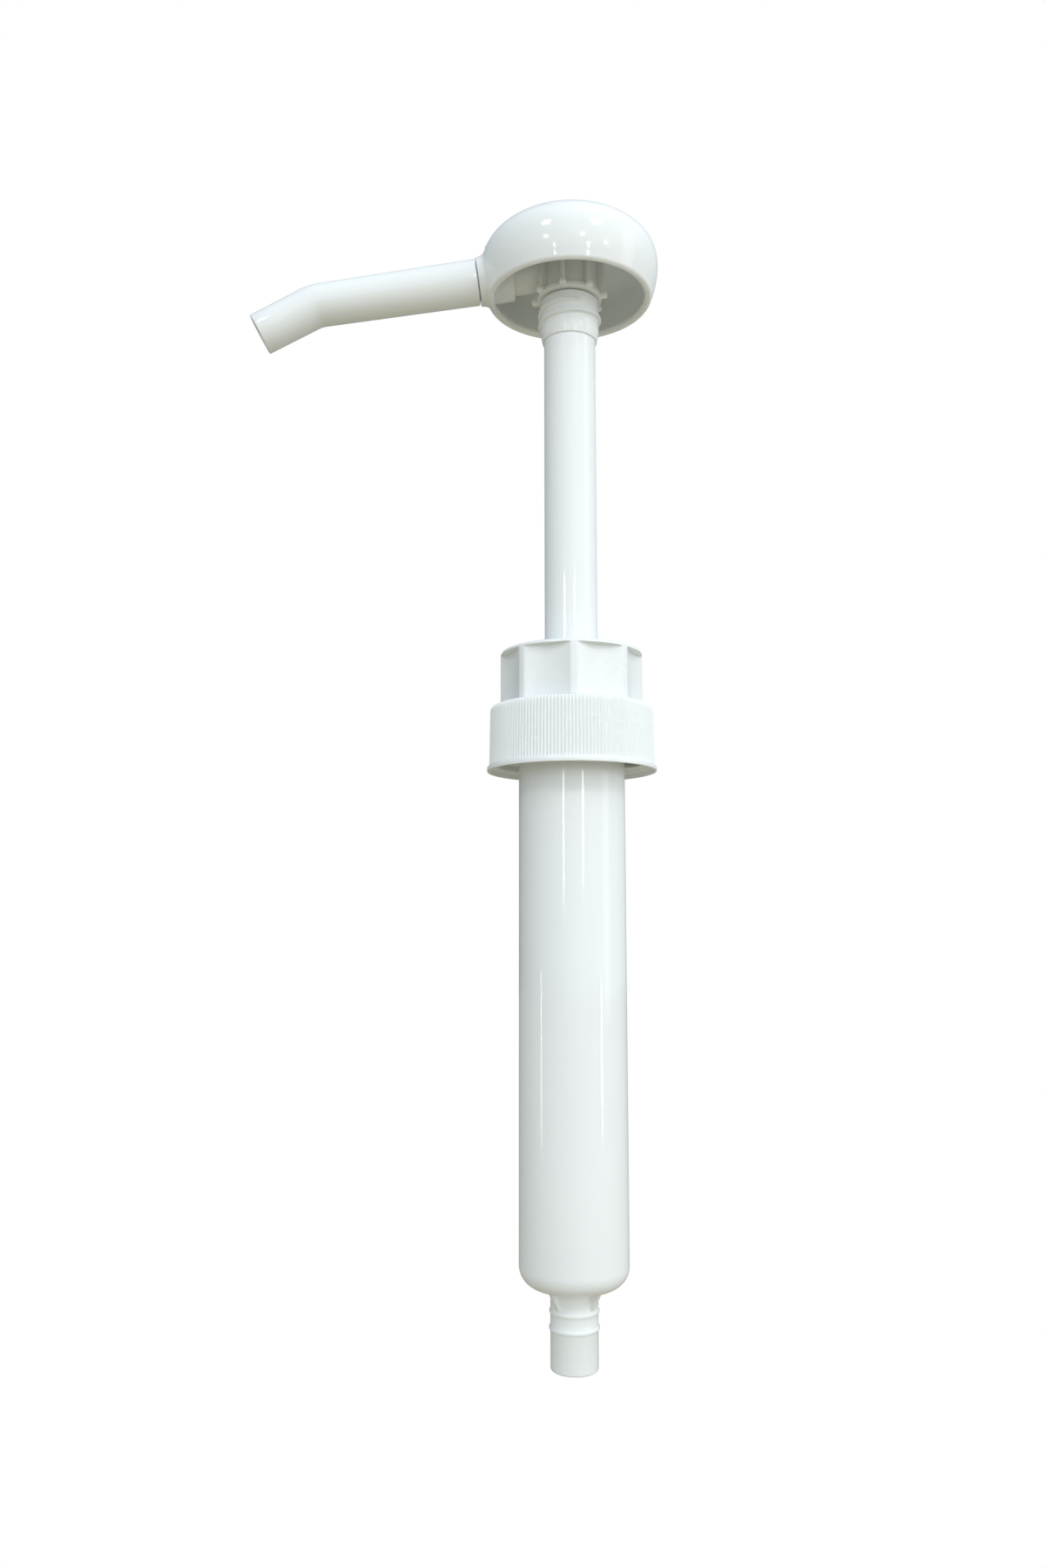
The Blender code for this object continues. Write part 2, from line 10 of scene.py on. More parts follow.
import bmesh
import bpy
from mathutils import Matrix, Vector


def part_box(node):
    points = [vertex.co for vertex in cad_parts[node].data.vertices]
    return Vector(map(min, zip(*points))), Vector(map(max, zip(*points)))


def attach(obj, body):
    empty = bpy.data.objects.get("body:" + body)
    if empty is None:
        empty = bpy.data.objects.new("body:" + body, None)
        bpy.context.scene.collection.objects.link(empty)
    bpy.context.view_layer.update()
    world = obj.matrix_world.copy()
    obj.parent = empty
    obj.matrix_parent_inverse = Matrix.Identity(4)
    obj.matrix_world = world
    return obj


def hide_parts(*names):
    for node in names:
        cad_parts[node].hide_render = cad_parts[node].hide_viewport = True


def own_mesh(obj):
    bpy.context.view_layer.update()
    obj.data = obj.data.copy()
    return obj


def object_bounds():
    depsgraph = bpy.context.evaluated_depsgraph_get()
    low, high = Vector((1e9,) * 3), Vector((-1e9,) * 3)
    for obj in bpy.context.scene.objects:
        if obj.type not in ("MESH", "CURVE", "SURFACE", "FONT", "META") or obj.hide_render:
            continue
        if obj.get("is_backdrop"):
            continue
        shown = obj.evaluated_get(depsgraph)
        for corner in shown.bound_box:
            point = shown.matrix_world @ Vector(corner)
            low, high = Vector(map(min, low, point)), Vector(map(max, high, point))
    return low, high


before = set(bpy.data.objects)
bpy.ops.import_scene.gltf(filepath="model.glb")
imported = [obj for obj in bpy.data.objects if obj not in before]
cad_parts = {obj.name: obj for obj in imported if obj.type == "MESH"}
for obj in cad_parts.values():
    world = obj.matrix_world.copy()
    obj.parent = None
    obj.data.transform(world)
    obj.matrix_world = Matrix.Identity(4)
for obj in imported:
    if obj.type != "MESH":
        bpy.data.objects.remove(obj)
cad_box = [list(corner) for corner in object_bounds()]
MM = 0.001  # every length below is in millimetres
print("pieces in the frame:", len(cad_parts))

# %% [markdown]
# ## Camera, floor and light
# The pump is seen from close by with a wide lens, so the camera stands a forearm's length away,
# level with the upper barrel, and looks slightly up. White plastic shows its form only by
# what it reflects, so the surroundings are brighter on the right than on the left, and warm below.

# %% Camera
camera_data = bpy.data.cameras.new("camera")
camera_data.lens = 27.6
camera_data.sensor_width = 36.0
camera = bpy.data.objects.new("camera", camera_data)
camera.location = Vector((-12.3, -297.9, -48.5)) * MM
camera.rotation_euler = (math.radians(90 + 6.8), 0.0, 0.0)
bpy.context.scene.collection.objects.link(camera)
bpy.context.scene.camera = camera
bpy.context.scene.view_settings.view_transform = "Standard"
print("camera at", [round(value, 4) for value in camera.location])


# %% Helpers for selecting
def select_only(*pieces):
    for item in list(bpy.context.selected_objects):
        item.select_set(False)
    for item in pieces:
        item.select_set(True)
    if pieces:
        bpy.context.view_layer.objects.active = pieces[0]


def edit(piece):
    select_only(piece)
    bpy.ops.object.mode_set(mode="EDIT")
    bpy.ops.mesh.select_mode(type="VERT")
    bpy.ops.mesh.select_all(action="DESELECT")


def done(piece):
    """Leaves edit mode if need be, and moves the piece's place, turn and size into its mesh."""
    bpy.ops.object.mode_set(mode="OBJECT")
    select_only(piece)
    bpy.ops.object.transform_apply(location=True, rotation=True, scale=True)
    return piece


def select_points(piece, test):
    """In edit mode, selects the points whose place, in millimetres, passes a test."""
    bpy.ops.mesh.select_all(action="DESELECT")
    points = bmesh.from_edit_mesh(piece.data)
    matrix = piece.matrix_world
    for point in points.verts:
        point.select = bool(test(matrix @ point.co / MM))
    points.select_flush(True)
    bmesh.update_edit_mesh(piece.data)


# %% [markdown]
# The world is only light here: the camera sees plain white behind the pump, and everything else
# sees a soft room that grows brighter towards one side, the front and above. White plastic is
# as bright as what stands around it, so this slow change is what rounds the barrel.

# %% World
ROOM_LEVEL = 0.66
ROOM_CONTRAST = 0.5
BRIGHT_SIDE = (0.68, -0.68, 0.3)
DIM_COLOUR = (0.86, 1.0, 1.12)
BRIGHT_COLOUR = (0.93, 1.0, 1.05)


def node_after(tree, kind, **inputs):
    """Adds a node and sets or links its inputs by name or number."""
    node = tree.nodes.new(kind)
    for name, value in inputs.items():
        socket = node.inputs[int(name[1:]) if name[1:].isdigit() else name.replace("_", " ")]
        if isinstance(value, bpy.types.NodeSocket):
            tree.links.new(value, socket)
        else:
            socket.default_value = value
    return node


def light_room():
    world = bpy.data.worlds.new("soft_room")
    world.use_nodes = True
    tree = world.node_tree
    tree.nodes.clear()
    where = node_after(tree, "ShaderNodeTexCoord").outputs["Generated"]
    towards = node_after(tree, "ShaderNodeVectorMath", _0=where, _1=BRIGHT_SIDE)
    towards.operation = "DOT_PRODUCT"
    side = towards.outputs["Value"]
    level = node_after(tree, "ShaderNodeMath", _0=side, _1=ROOM_CONTRAST, _2=ROOM_LEVEL)
    level.operation = "MULTIPLY_ADD"
    share = node_after(tree, "ShaderNodeMapRange", _0=side, _1=-0.8, _2=0.8)
    tint = node_after(tree, "ShaderNodeMix")
    tint.data_type = "RGBA"
    tree.links.new(share.outputs[0], tint.inputs["Factor"])
    tint.inputs[6].default_value = (*DIM_COLOUR, 1.0)
    tint.inputs[7].default_value = (*BRIGHT_COLOUR, 1.0)
    room = node_after(tree, "ShaderNodeBackground", Color=tint.outputs[2], Strength=level.outputs[0])
    white = node_after(tree, "ShaderNodeBackground", Color=(1.0, 1.0, 1.0, 1.0), Strength=1.0)
    path = node_after(tree, "ShaderNodeLightPath")
    seen = path.outputs["Is Camera Ray"]
    chosen = node_after(tree, "ShaderNodeMixShader", _0=seen, _1=room.outputs[0], _2=white.outputs[0])
    output = tree.nodes.new("ShaderNodeOutputWorld")
    tree.links.new(chosen.outputs[0], output.inputs["Surface"])
    bpy.context.scene.world = world


light_room()

# %% Floor
FLOOR_Z = -300.0


def make_floor():
    select_only()
    bpy.ops.mesh.primitive_plane_add(size=8.0, location=(0.0, 0.0, FLOOR_Z * MM))
    floor = bpy.context.object
    floor.name = "floor"
    material = bpy.data.materials.new("pale_floor")
    material.use_nodes = True
    tree = material.node_tree
    matt = tree.nodes["Principled BSDF"]
    matt.inputs["Base Color"].default_value = (0.46, 0.4, 0.28, 1.0)
    matt.inputs["Roughness"].default_value = 0.9
    glow = node_after(tree, "ShaderNodeEmission", Color=(1.0, 1.0, 1.0, 1.0), Strength=1.0)
    path = node_after(tree, "ShaderNodeLightPath")
    mix = node_after(
        tree, "ShaderNodeMixShader", _0=path.outputs["Is Camera Ray"], _1=matt.outputs[0], _2=glow.outputs[0]
    )
    tree.links.new(mix.outputs[0], tree.nodes["Material Output"].inputs["Surface"])
    floor.data.materials.append(material)
    floor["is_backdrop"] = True


make_floor()

# %% [markdown]
# The lamps are placed as on a studio floor: by how far round from the camera they stand, how high
# above the horizon, and how wide and tall their panel is. Narrow panels draw the thin bright lines
# down the stem and the barrel, the small ones are the panes that glint on the dome. Two of them are
# strong and stand high, so that the cap casts a soft shadow on the barrel. A warm one lies low in
# front, like light coming off a table, and fills the open dome from below.


# %% Lamps
AIM = Vector((0.0, 0.0, 0.0))


def panel(name, round_from_camera, above, distance, size, brightness, colour=(1.0, 1.0, 1.0)):
    """An area light facing the pump: angles in degrees, distance and size in metres."""
    light = bpy.data.lights.new(name, "AREA")
    light.shape = "RECTANGLE"
    light.size, light.size_y = size
    light.energy = brightness * math.pi * size[0] * size[1]
    light.color = colour
    lamp = bpy.data.objects.new(name, light)
    turn, rise = math.radians(round_from_camera), math.radians(above)
    away = Vector((math.sin(turn) * math.cos(rise), -math.cos(turn) * math.cos(rise), math.sin(rise)))
    lamp.location = AIM + away * distance
    lamp.rotation_euler = away.to_track_quat("Z", "Y").to_euler()
    lamp.visible_camera = False
    bpy.context.scene.collection.objects.link(lamp)
    return lamp


panel("key_window", 75, 14, 1.3, (0.4, 1.0), 1.1)
panel("high_left_window", -31, 35, 1.5, (0.2, 0.17), 18.0)
panel("high_right_window", 32, 35, 1.5, (0.22, 0.17), 24.0)
panel("left_pane", -30, 16, 1.5, (0.14, 0.1), 16.0)
panel("middle_pane", 14, 16, 1.5, (0.14, 0.1), 14.0)
panel("right_pane", 43, 11, 1.5, (0.1, 0.1), 14.0)
panel("left_strip", -20, 3.5, 1.2, (0.045, 0.17), 14.0)
panel("right_strip", 21, 4, 1.2, (0.07, 0.15), 10.0)
panel("side_lamp", 60, -12, 1.3, (0.035, 0.3), 22.0)
panel("low_left_strip", -72, -11, 1.2, (0.025, 0.26), 14.0)
panel("table_glow", 5, -38, 1.2, (0.6, 0.3), 1.6, (1.0, 0.88, 0.68))

# %% [markdown]
# ## Making turned pieces
# Nearly every piece of this pump comes out of a round mould, so it is a profile turned about the
# axis. By hand: collapse a small plane to one point, extrude it from corner to corner of the profile,
# spin the line through a full turn, merge the seam and make the faces point outwards. The corners
# get their small mould radius in the profile itself, which is cleaner than bevelling afterwards.


# %% Profile helpers
def rounded(corners, closed=True, steps=4):
    """Replaces each (radius, height, rounding) corner by an arc that touches both its sides."""
    points = []
    count = len(corners)
    for index, corner in enumerate(corners):
        here = Vector(corner[:2])
        at_end = not closed and index in (0, count - 1)
        if len(corner) < 3 or at_end:
            points.append(tuple(here))
            continue
        before = Vector(corners[index - 1][:2]) - here
        after = Vector(corners[(index + 1) % count][:2]) - here
        half = before.angle(after) / 2
        reach = min(corner[2] / math.tan(half), 0.45 * before.length, 0.45 * after.length)
        radius = reach * math.tan(half)
        centre = here + (before.normalized() + after.normalized()).normalized() * (radius / math.sin(half))
        start = here + before.normalized() * reach - centre
        end = here + after.normalized() * reach - centre
        for step in range(steps + 1):
            spoke = start.lerp(end, step / steps).normalized() * radius
            points.append(tuple(centre + spoke))
    return points


def quarter(centre, radii, start, end, steps, power=2.0):
    """Points of an ellipse, or of a fuller curve when the power is above 2; angles in degrees."""
    points = []
    for step in range(steps + 1):
        angle = math.radians(start + (end - start) * step / steps)
        across, up = math.cos(angle), math.sin(angle)
        size = (abs(across) ** power + abs(up) ** power) ** (-1 / power)
        points.append((centre[0] + radii[0] * across * size, centre[1] + radii[1] * up * size))
    return points


def turned(name, profile, steps=96, closed=True):
    """Spins a profile of (radius, height) points, in millimetres, about the pump's axis."""
    select_only()
    radius, height = profile[0]
    bpy.ops.mesh.primitive_plane_add(size=MM, location=(radius * MM, 0.0, height * MM))
    piece = bpy.context.object
    piece.name = name
    bpy.ops.object.mode_set(mode="EDIT")
    bpy.ops.mesh.merge(type="CENTER")
    for first, second in zip(profile, profile[1:]):
        move = ((second[0] - first[0]) * MM, 0.0, (second[1] - first[1]) * MM)
        bpy.ops.mesh.extrude_vertices_move(TRANSFORM_OT_translate={"value": move})
    if closed:
        points = bmesh.from_edit_mesh(piece.data)
        for point in points.verts:
            point.select = len(point.link_edges) == 1
        bmesh.update_edit_mesh(piece.data)
        bpy.ops.mesh.edge_face_add()
    bpy.ops.mesh.select_all(action="SELECT")
    bpy.ops.mesh.spin(steps=steps, angle=2 * math.pi, center=(0, 0, 0), axis=(0, 0, 1))
    bpy.ops.mesh.select_all(action="SELECT")
    bpy.ops.mesh.remove_doubles(threshold=0.000001)
    bpy.ops.mesh.normals_make_consistent(inside=False)
    return done(piece)


def apply_modifier(piece, kind, **settings):
    select_only(piece)
    modifier = piece.modifiers.new(kind.lower(), kind)
    for name, value in settings.items():
        setattr(modifier, name, value)
    bpy.ops.object.modifier_apply(modifier=modifier.name)
    return piece


def combine(piece, other, operation="UNION"):
    apply_modifier(piece, "BOOLEAN", operation=operation, solver="EXACT", object=other)
    mesh = other.data
    bpy.data.objects.remove(other, do_unlink=True)
    bpy.data.meshes.remove(mesh)
    return piece


def report(piece):
    """Prints a piece's size and whether it is one closed surface."""
    mesh = bmesh.new()
    mesh.from_mesh(piece.data)
    loose = sum(1 for edge in mesh.edges if len(edge.link_faces) != 2)
    volume = mesh.calc_volume() / MM**3
    mesh.free()
    size = [round(value / MM, 2) for value in piece.dimensions]
    faces = len(piece.data.polygons)
    print(f"{piece.name}: {size} mm, {faces} faces, {loose} open edges, {volume:.0f} mm3")


# %% [markdown]
# A screw thread is the same idea with a rise: a small section is swept round by a Screw modifier
# that climbs one pitch each turn. Its crest is drawn in towards the wall over the first and last
# eighth of a turn, because a moulded thread fades in and out and never starts with a step.


# %% Thread helper
def screw_thread(name, root, crest, low, pitch, turns, start=0.0, width=1.7, steps=48):
    """A ridge from root to crest radius, in millimetres, starting at a height and an angle."""
    top = 0.34 * width
    inside = root + (0.35 if crest < root else -0.35)
    section = [(inside, -width / 2), (crest, -top / 2), (crest, top / 2), (inside, width / 2)]
    select_only()
    place = (section[0][0] * MM, 0.0, (low + section[0][1]) * MM)
    bpy.ops.mesh.primitive_plane_add(size=MM, location=place)
    ridge = bpy.context.object
    ridge.name = name
    bpy.ops.object.mode_set(mode="EDIT")
    bpy.ops.mesh.merge(type="CENTER")
    for first, second in zip(section, section[1:]):
        move = ((second[0] - first[0]) * MM, 0.0, (second[1] - first[1]) * MM)
        bpy.ops.mesh.extrude_vertices_move(TRANSFORM_OT_translate={"value": move})
    points = bmesh.from_edit_mesh(ridge.data)
    for point in points.verts:
        point.select = len(point.link_edges) == 1
    bmesh.update_edit_mesh(ridge.data)
    bpy.ops.mesh.edge_face_add()
    done(ridge)
    count = round(turns * steps)
    apply_modifier(
        ridge, "SCREW", angle=2 * math.pi * turns, screw_offset=pitch * turns * MM, steps=count,
        render_steps=count, use_merge_vertices=False,
    )
    fade = steps // 8
    edit(ridge)
    middle = Vector((0.0, 0.0, 0.0))
    for step in list(range(fade)) + list(range(count - fade + 1, count + 1)):
        ends = min(step, count - step)
        shrink = 1 + (inside / crest - 1) * (1 - math.sin(math.pi / 2 * ends / fade)) * 0.8
        points = bmesh.from_edit_mesh(ridge.data)
        points.verts.ensure_lookup_table()
        bpy.ops.mesh.select_all(action="DESELECT")
        for corner in (1, 2):
            points.verts[step * 4 + corner].select = True
        bmesh.update_edit_mesh(ridge.data)
        bpy.ops.transform.resize(value=(shrink, shrink, 1.0), center_override=middle)
    for step in (0, count):
        points = bmesh.from_edit_mesh(ridge.data)
        points.verts.ensure_lookup_table()
        bpy.ops.mesh.select_all(action="DESELECT")
        for corner in range(4):
            points.verts[step * 4 + corner].select = True
        bmesh.update_edit_mesh(ridge.data)
        bpy.ops.mesh.edge_face_add()
    bpy.ops.mesh.select_all(action="SELECT")
    bpy.ops.mesh.normals_make_consistent(inside=False)
    bpy.ops.object.mode_set(mode="OBJECT")
    ridge.rotation_euler = (0.0, 0.0, start)
    return done(ridge)


# %% [markdown]
# ## Materials
# Polypropylene has a hard gloss, but its surface is never flat: the melt leaves long shallow waves
# along the way it flowed and a fine skin like orange peel. Both are heights, so one node group makes
# them for every moulded piece and each material says how long and how strong they are. The group
# also gives a slow mottle for the colour and for the gloss.


# %% Node groups
def new_group(name, inputs, outputs):
    group = bpy.data.node_groups.new(name, "ShaderNodeTree")
    for socket, value in inputs.items():
        item = group.interface.new_socket(socket, in_out="INPUT", socket_type="NodeSocketFloat")
        item.default_value = value
    for socket in outputs:
        group.interface.new_socket(socket, in_out="OUTPUT", socket_type="NodeSocketFloat")
    return group, group.nodes.new("NodeGroupInput"), group.nodes.new("NodeGroupOutput")


def moulded_skin():
    """Flow waves drawn out along the axis, a fine grain over them, and a slow mottle."""
    inputs = {"Wave Size": 60.0, "Wave Height": 0.7, "Grain Size": 900.0, "Grain Height": 0.12}
    group, given, result = new_group("moulded_skin", inputs, ("Height", "Mottle"))
    where = group.nodes.new("ShaderNodeTexCoord").outputs["Object"]
    flat = node_after(group, "ShaderNodeVectorMath", _0=where, _1=(1.0, 1.0, 0.16))
    flat.operation = "MULTIPLY"
    wave = node_after(group, "ShaderNodeTexNoise", Vector=flat.outputs[0], Scale=given.outputs[0])
    wave.inputs["Detail"].default_value = 1.0
    grain = node_after(group, "ShaderNodeTexNoise", Vector=where, Scale=given.outputs[2])
    grain.inputs["Detail"].default_value = 2.0
    big = node_after(group, "ShaderNodeMath", _0=wave.outputs[0], _1=given.outputs[1])
    big.operation = "MULTIPLY"
    total = node_after(group, "ShaderNodeMath", _0=grain.outputs[0], _1=given.outputs[3])
    total.operation = "MULTIPLY_ADD"
    group.links.new(big.outputs[0], total.inputs[2])
    group.links.new(total.outputs[0], result.inputs["Height"])
    mottle = node_after(group, "ShaderNodeTexNoise", Vector=where, Scale=38.0)
    mottle.inputs["Detail"].default_value = 3.0
    group.links.new(mottle.outputs[0], result.inputs["Mottle"])
    return group


SKIN = moulded_skin()


# %% [markdown]
# The plastic itself is one recipe: two near whites mixed by the mottle, a gloss that wavers with
# it, and the skin as a bump whose depth is a few hundredths of a millimetre. The numbers that are
# the same all over, such as how deep light goes in, sit on the shader's own sockets.


# %% Plastic and rubber
def moulded(name, light, dark, gloss, wave, grain, depth=0.03, inside=0.0):
    """A moulded material: colours, (lowest, highest) roughness and (size, height) of its skin."""
    material = bpy.data.materials.new(name)
    material.use_nodes = True
    tree = material.node_tree
    shader = tree.nodes["Principled BSDF"]
    skin = tree.nodes.new("ShaderNodeGroup")
    skin.node_tree = SKIN
    for socket, value in zip(skin.inputs, (*wave, *grain)):
        socket.default_value = value
    colour = node_after(tree, "ShaderNodeMix")
    colour.data_type = "RGBA"
    tree.links.new(skin.outputs["Mottle"], colour.inputs["Factor"])
    colour.inputs[6].default_value = (*dark, 1.0)
    colour.inputs[7].default_value = (*light, 1.0)
    tree.links.new(colour.outputs[2], shader.inputs["Base Color"])
    shine = node_after(tree, "ShaderNodeMapRange", _0=skin.outputs["Mottle"], _1=0.3, _2=0.7)
    shine.inputs["To Min"].default_value = gloss[0]
    shine.inputs["To Max"].default_value = gloss[1]
    tree.links.new(shine.outputs[0], shader.inputs["Roughness"])
    bump = node_after(tree, "ShaderNodeBump", Height=skin.outputs["Height"])
    bump.inputs["Strength"].default_value = 1.0
    bump.inputs["Distance"].default_value = depth * MM
    tree.links.new(bump.outputs[0], shader.inputs["Normal"])
    shader.inputs["IOR"].default_value = 1.49
    shader.inputs["Subsurface Weight"].default_value = inside
    shader.inputs["Subsurface Radius"].default_value = (1.0, 0.95, 0.85)
    shader.inputs["Subsurface Scale"].default_value = 0.002
    return material


WHITE = (0.875, 0.905, 0.915)
SHADE = (0.84, 0.875, 0.887)
gloss_white = moulded("white_polypropylene", WHITE, SHADE, (0.06, 0.1), (60, 0.4), (700, 0.03))
dome_white = moulded("dome_polypropylene", WHITE, SHADE, (0.06, 0.1), (60, 0.4), (700, 0.03), inside=0.7)
cap_white = moulded("cap_polypropylene", WHITE, SHADE, (0.22, 0.3), (90, 0.3), (900, 0.15))
barrel_white = moulded("barrel_polypropylene", WHITE, SHADE, (0.06, 0.1), (45, 0.8), (600, 0.02))
stem_white = moulded("stem_polypropylene", WHITE, SHADE, (0.06, 0.1), (70, 0.7), (600, 0.02))
natural = moulded(
    "natural_polypropylene", (0.8, 0.8, 0.76), (0.74, 0.74, 0.7), (0.3, 0.42), (90, 0.4), (900, 0.3)
)
seal_white = moulded(
    "seal_elastomer", (0.74, 0.73, 0.69), (0.66, 0.65, 0.61), (0.5, 0.68), (120, 0.3), (1500, 0.5)
)

# %% [markdown]
# The spring is drawn stainless wire: fine lines run along it, so the grain is read from rings
# about the axis squeezed in height. The valve balls are the same steel, ground and polished, with
# only faint marks left in the gloss.


# %% Steel
def steel(name, colour, gloss, squeeze, size):
    material = bpy.data.materials.new(name)
    material.use_nodes = True
    tree = material.node_tree
    shader = tree.nodes["Principled BSDF"]
    where = tree.nodes.new("ShaderNodeTexCoord").outputs["Object"]
    long = node_after(tree, "ShaderNodeVectorMath", _0=where, _1=(1.0, 1.0, squeeze))
    long.operation = "MULTIPLY"
    lines = node_after(tree, "ShaderNodeTexNoise", Vector=long.outputs[0], Scale=size)
    lines.inputs["Detail"].default_value = 4.0
    shine = node_after(tree, "ShaderNodeMapRange", _0=lines.outputs[0], _1=0.25, _2=0.75)
    shine.inputs["To Min"].default_value = gloss[0]
    shine.inputs["To Max"].default_value = gloss[1]
    tree.links.new(shine.outputs[0], shader.inputs["Roughness"])
    tint = node_after(tree, "ShaderNodeMix")
    tint.data_type = "RGBA"
    tree.links.new(lines.outputs[0], tint.inputs["Factor"])
    tint.inputs[6].default_value = (*(0.85 * value for value in colour), 1.0)
    tint.inputs[7].default_value = (*colour, 1.0)
    tree.links.new(tint.outputs[2], shader.inputs["Base Color"])
    bump = node_after(tree, "ShaderNodeBump", Height=lines.outputs[0])
    bump.inputs["Distance"].default_value = 0.004 * MM
    tree.links.new(bump.outputs[0], shader.inputs["Normal"])
    shader.inputs["Metallic"].default_value = 1.0
    return material


wire_steel = steel("drawn_wire", (0.6, 0.6, 0.61), (0.22, 0.4), 12.0, 500.0)
ball_steel = steel("polished_ball", (0.68, 0.68, 0.7), (0.06, 0.14), 1.0, 300.0)
print("materials:", len(bpy.data.materials))


# %% Finishing a piece
def finished(piece, material, body, node, sharp=32):
    """Shades a piece, gives it its material and hands it to the frame in place of its node."""
    select_only(piece)
    bpy.ops.object.shade_smooth_by_angle(angle=math.radians(sharp))
    piece.data.materials.clear()
    piece.data.materials.append(material)
    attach(piece, body)
    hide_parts(node)
    report(piece)
    return piece


def span(node):
    """A node's outer radius and its lowest and highest points, in millimetres."""
    low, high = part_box(node)
    return high.y / MM, low.z / MM, high.z / MM


# %% [markdown]
# ## Barrel
# The barrel is one deep moulding: a threaded neck and a flange at the top, the long cylinder that
# the piston runs in, a well-rounded bottom corner and the inlet spigot with its two fine beads.
# The profile goes once round the wall, outside down and inside up. Four triangular webs join the
# bottom to the spigot.

# %% Barrel
NECK_R = 13.6
BORE_R = 11.4
TUBE_R = 13.2
FLANGE_THICK = 2.2
INLET_R = 5.7
INLET_BORE_R = 4.2
BALL_SEAT = [(3.4, -134.8), (3.4, -133.4), (5.4, -131.4)]
UPPER_BEAD_Z = -138.6
LOWER_BEAD_Z = -142.4
CORNER = 5.0
WEB_SIZE = (3.9, 1.2, 5.2)
WEB_INNER_R = 4.9
WEB_FOOT_Z = -137.6
VENT_R = 0.9
VENT_Z = -5.0
PUMP_PITCH = 3.0

flange_r, inlet_end, neck_top = span("barrel")
barrel_bottom = inlet_end + 18.8
flange_top = neck_top - 10.7


def bead(height, radius=INLET_R, rise=0.28, half=0.75):
    """A fine rounded ring on the inlet spigot, as profile points from its top to its bottom."""
    steps = 6
    points = []
    for step in range(steps + 1):
        part = step / steps
        swell = rise * math.sin(math.pi * part) ** 1.5
        points.append((radius + swell, height + half - 2 * half * part))
    return points


def gusset(index):
    """A web under the barrel: a thin block whose outer lower edge is drawn in to the spigot."""
    select_only()
    middle = (WEB_INNER_R + WEB_SIZE[0] / 2, 0.0, WEB_FOOT_Z + WEB_SIZE[2] / 2)
    bpy.ops.mesh.primitive_cube_add(size=1.0, location=Vector(middle) * MM, scale=Vector(WEB_SIZE) * MM)
    web = bpy.context.object
    web.name = "web"
    edit(web)
    select_points(web, lambda place: place.x > middle[0] and place.z < middle[2])
    bpy.ops.transform.translate(value=(-2.9 * MM, 0.0, 0.0))
    done(web)
    apply_modifier(web, "BEVEL", width=0.15 * MM, segments=2, limit_method="ANGLE")
    web.rotation_euler = (0.0, 0.0, math.radians(45 + 90 * index))
    return done(web)


def make_barrel():
    flange_low = flange_top - FLANGE_THICK
    shell = rounded([(NECK_R - 0.01, neck_top, 0.3), (NECK_R, flange_top, 0.2), (flange_r, flange_top, 0.25),
                     (flange_r, flange_low, 0.25), (TUBE_R, flange_low, 0.3)], closed=False)
    shell[0] = (NECK_R - 0.4, neck_top)
    shell.insert(1, (NECK_R, neck_top - 0.4))
    corner = (TUBE_R - CORNER, barrel_bottom + CORNER)
    for height in range(1, 8):
        shell.append((TUBE_R, flange_low - height * 15.0))
    shell += quarter(corner, (CORNER, CORNER), 0, -90, 12)
    shell += rounded([(6.6, barrel_bottom), (INLET_R, barrel_bottom, 0.8), (INLET_R, -136.5)], closed=False)
    shell += bead(UPPER_BEAD_Z) + bead(LOWER_BEAD_Z, rise=0.34)
    shell += quarter((INLET_R - 0.5, inlet_end + 0.5), (0.5, 0.5), 0, -90, 4)
    shell += quarter((INLET_BORE_R + 0.25, inlet_end + 0.25), (0.25, 0.25), -90, -180, 3)
    shell += [(INLET_BORE_R, -135.6), *BALL_SEAT]
    inner = TUBE_R - BORE_R
    shell += quarter(corner, (CORNER - inner, CORNER - inner), -90, 0, 8)
    shell.append((BORE_R, neck_top))
    barrel = turned("barrel_body", shell, steps=120)
    combine(barrel, screw_thread("neck_thread", NECK_R, NECK_R + 0.8, low=6.6, pitch=PUMP_PITCH, turns=2.0))
    for index in range(4):
        combine(barrel, gusset(index))
    select_only()
    bpy.ops.mesh.primitive_cylinder_add(
        vertices=24, radius=VENT_R * MM, depth=6 * MM, location=(0.0, 12.5 * MM, VENT_Z * MM),
        rotation=(math.pi / 2, 0.0, 0.0),
    )
    return combine(barrel, done(bpy.context.object), "DIFFERENCE")


finished(make_barrel(), barrel_white, "pump_body", "barrel")

# %% [markdown]
# ## Screw cap
# The cap is gripped by its ribs, 150 of them, so fine that they read as a texture from arm's length.
# They are still real here: the wall is spun with six columns of points to each rib, and then the
# columns that lie between the ribs are drawn in towards the axis. A plain lip runs round the bottom.

# %% Cap
RIBS = 150
RIB_COLUMNS = 6
RIB_DEPTH = 0.34
CAP_WALL_R = 18.9
CAP_HOLE_R = 15.5
MOUTH_R = 20.65
MOUTH_RISE = 1.6
CAP_PLATE = 1.9
CAP_THREAD_R = 17.75
CAP_PITCH = 4.23

cap_lip_r, cap_low, cap_top = span("closure_cap")
cap_top_r = cap_lip_r - 0.75
cap_low_r = cap_lip_r - 0.55


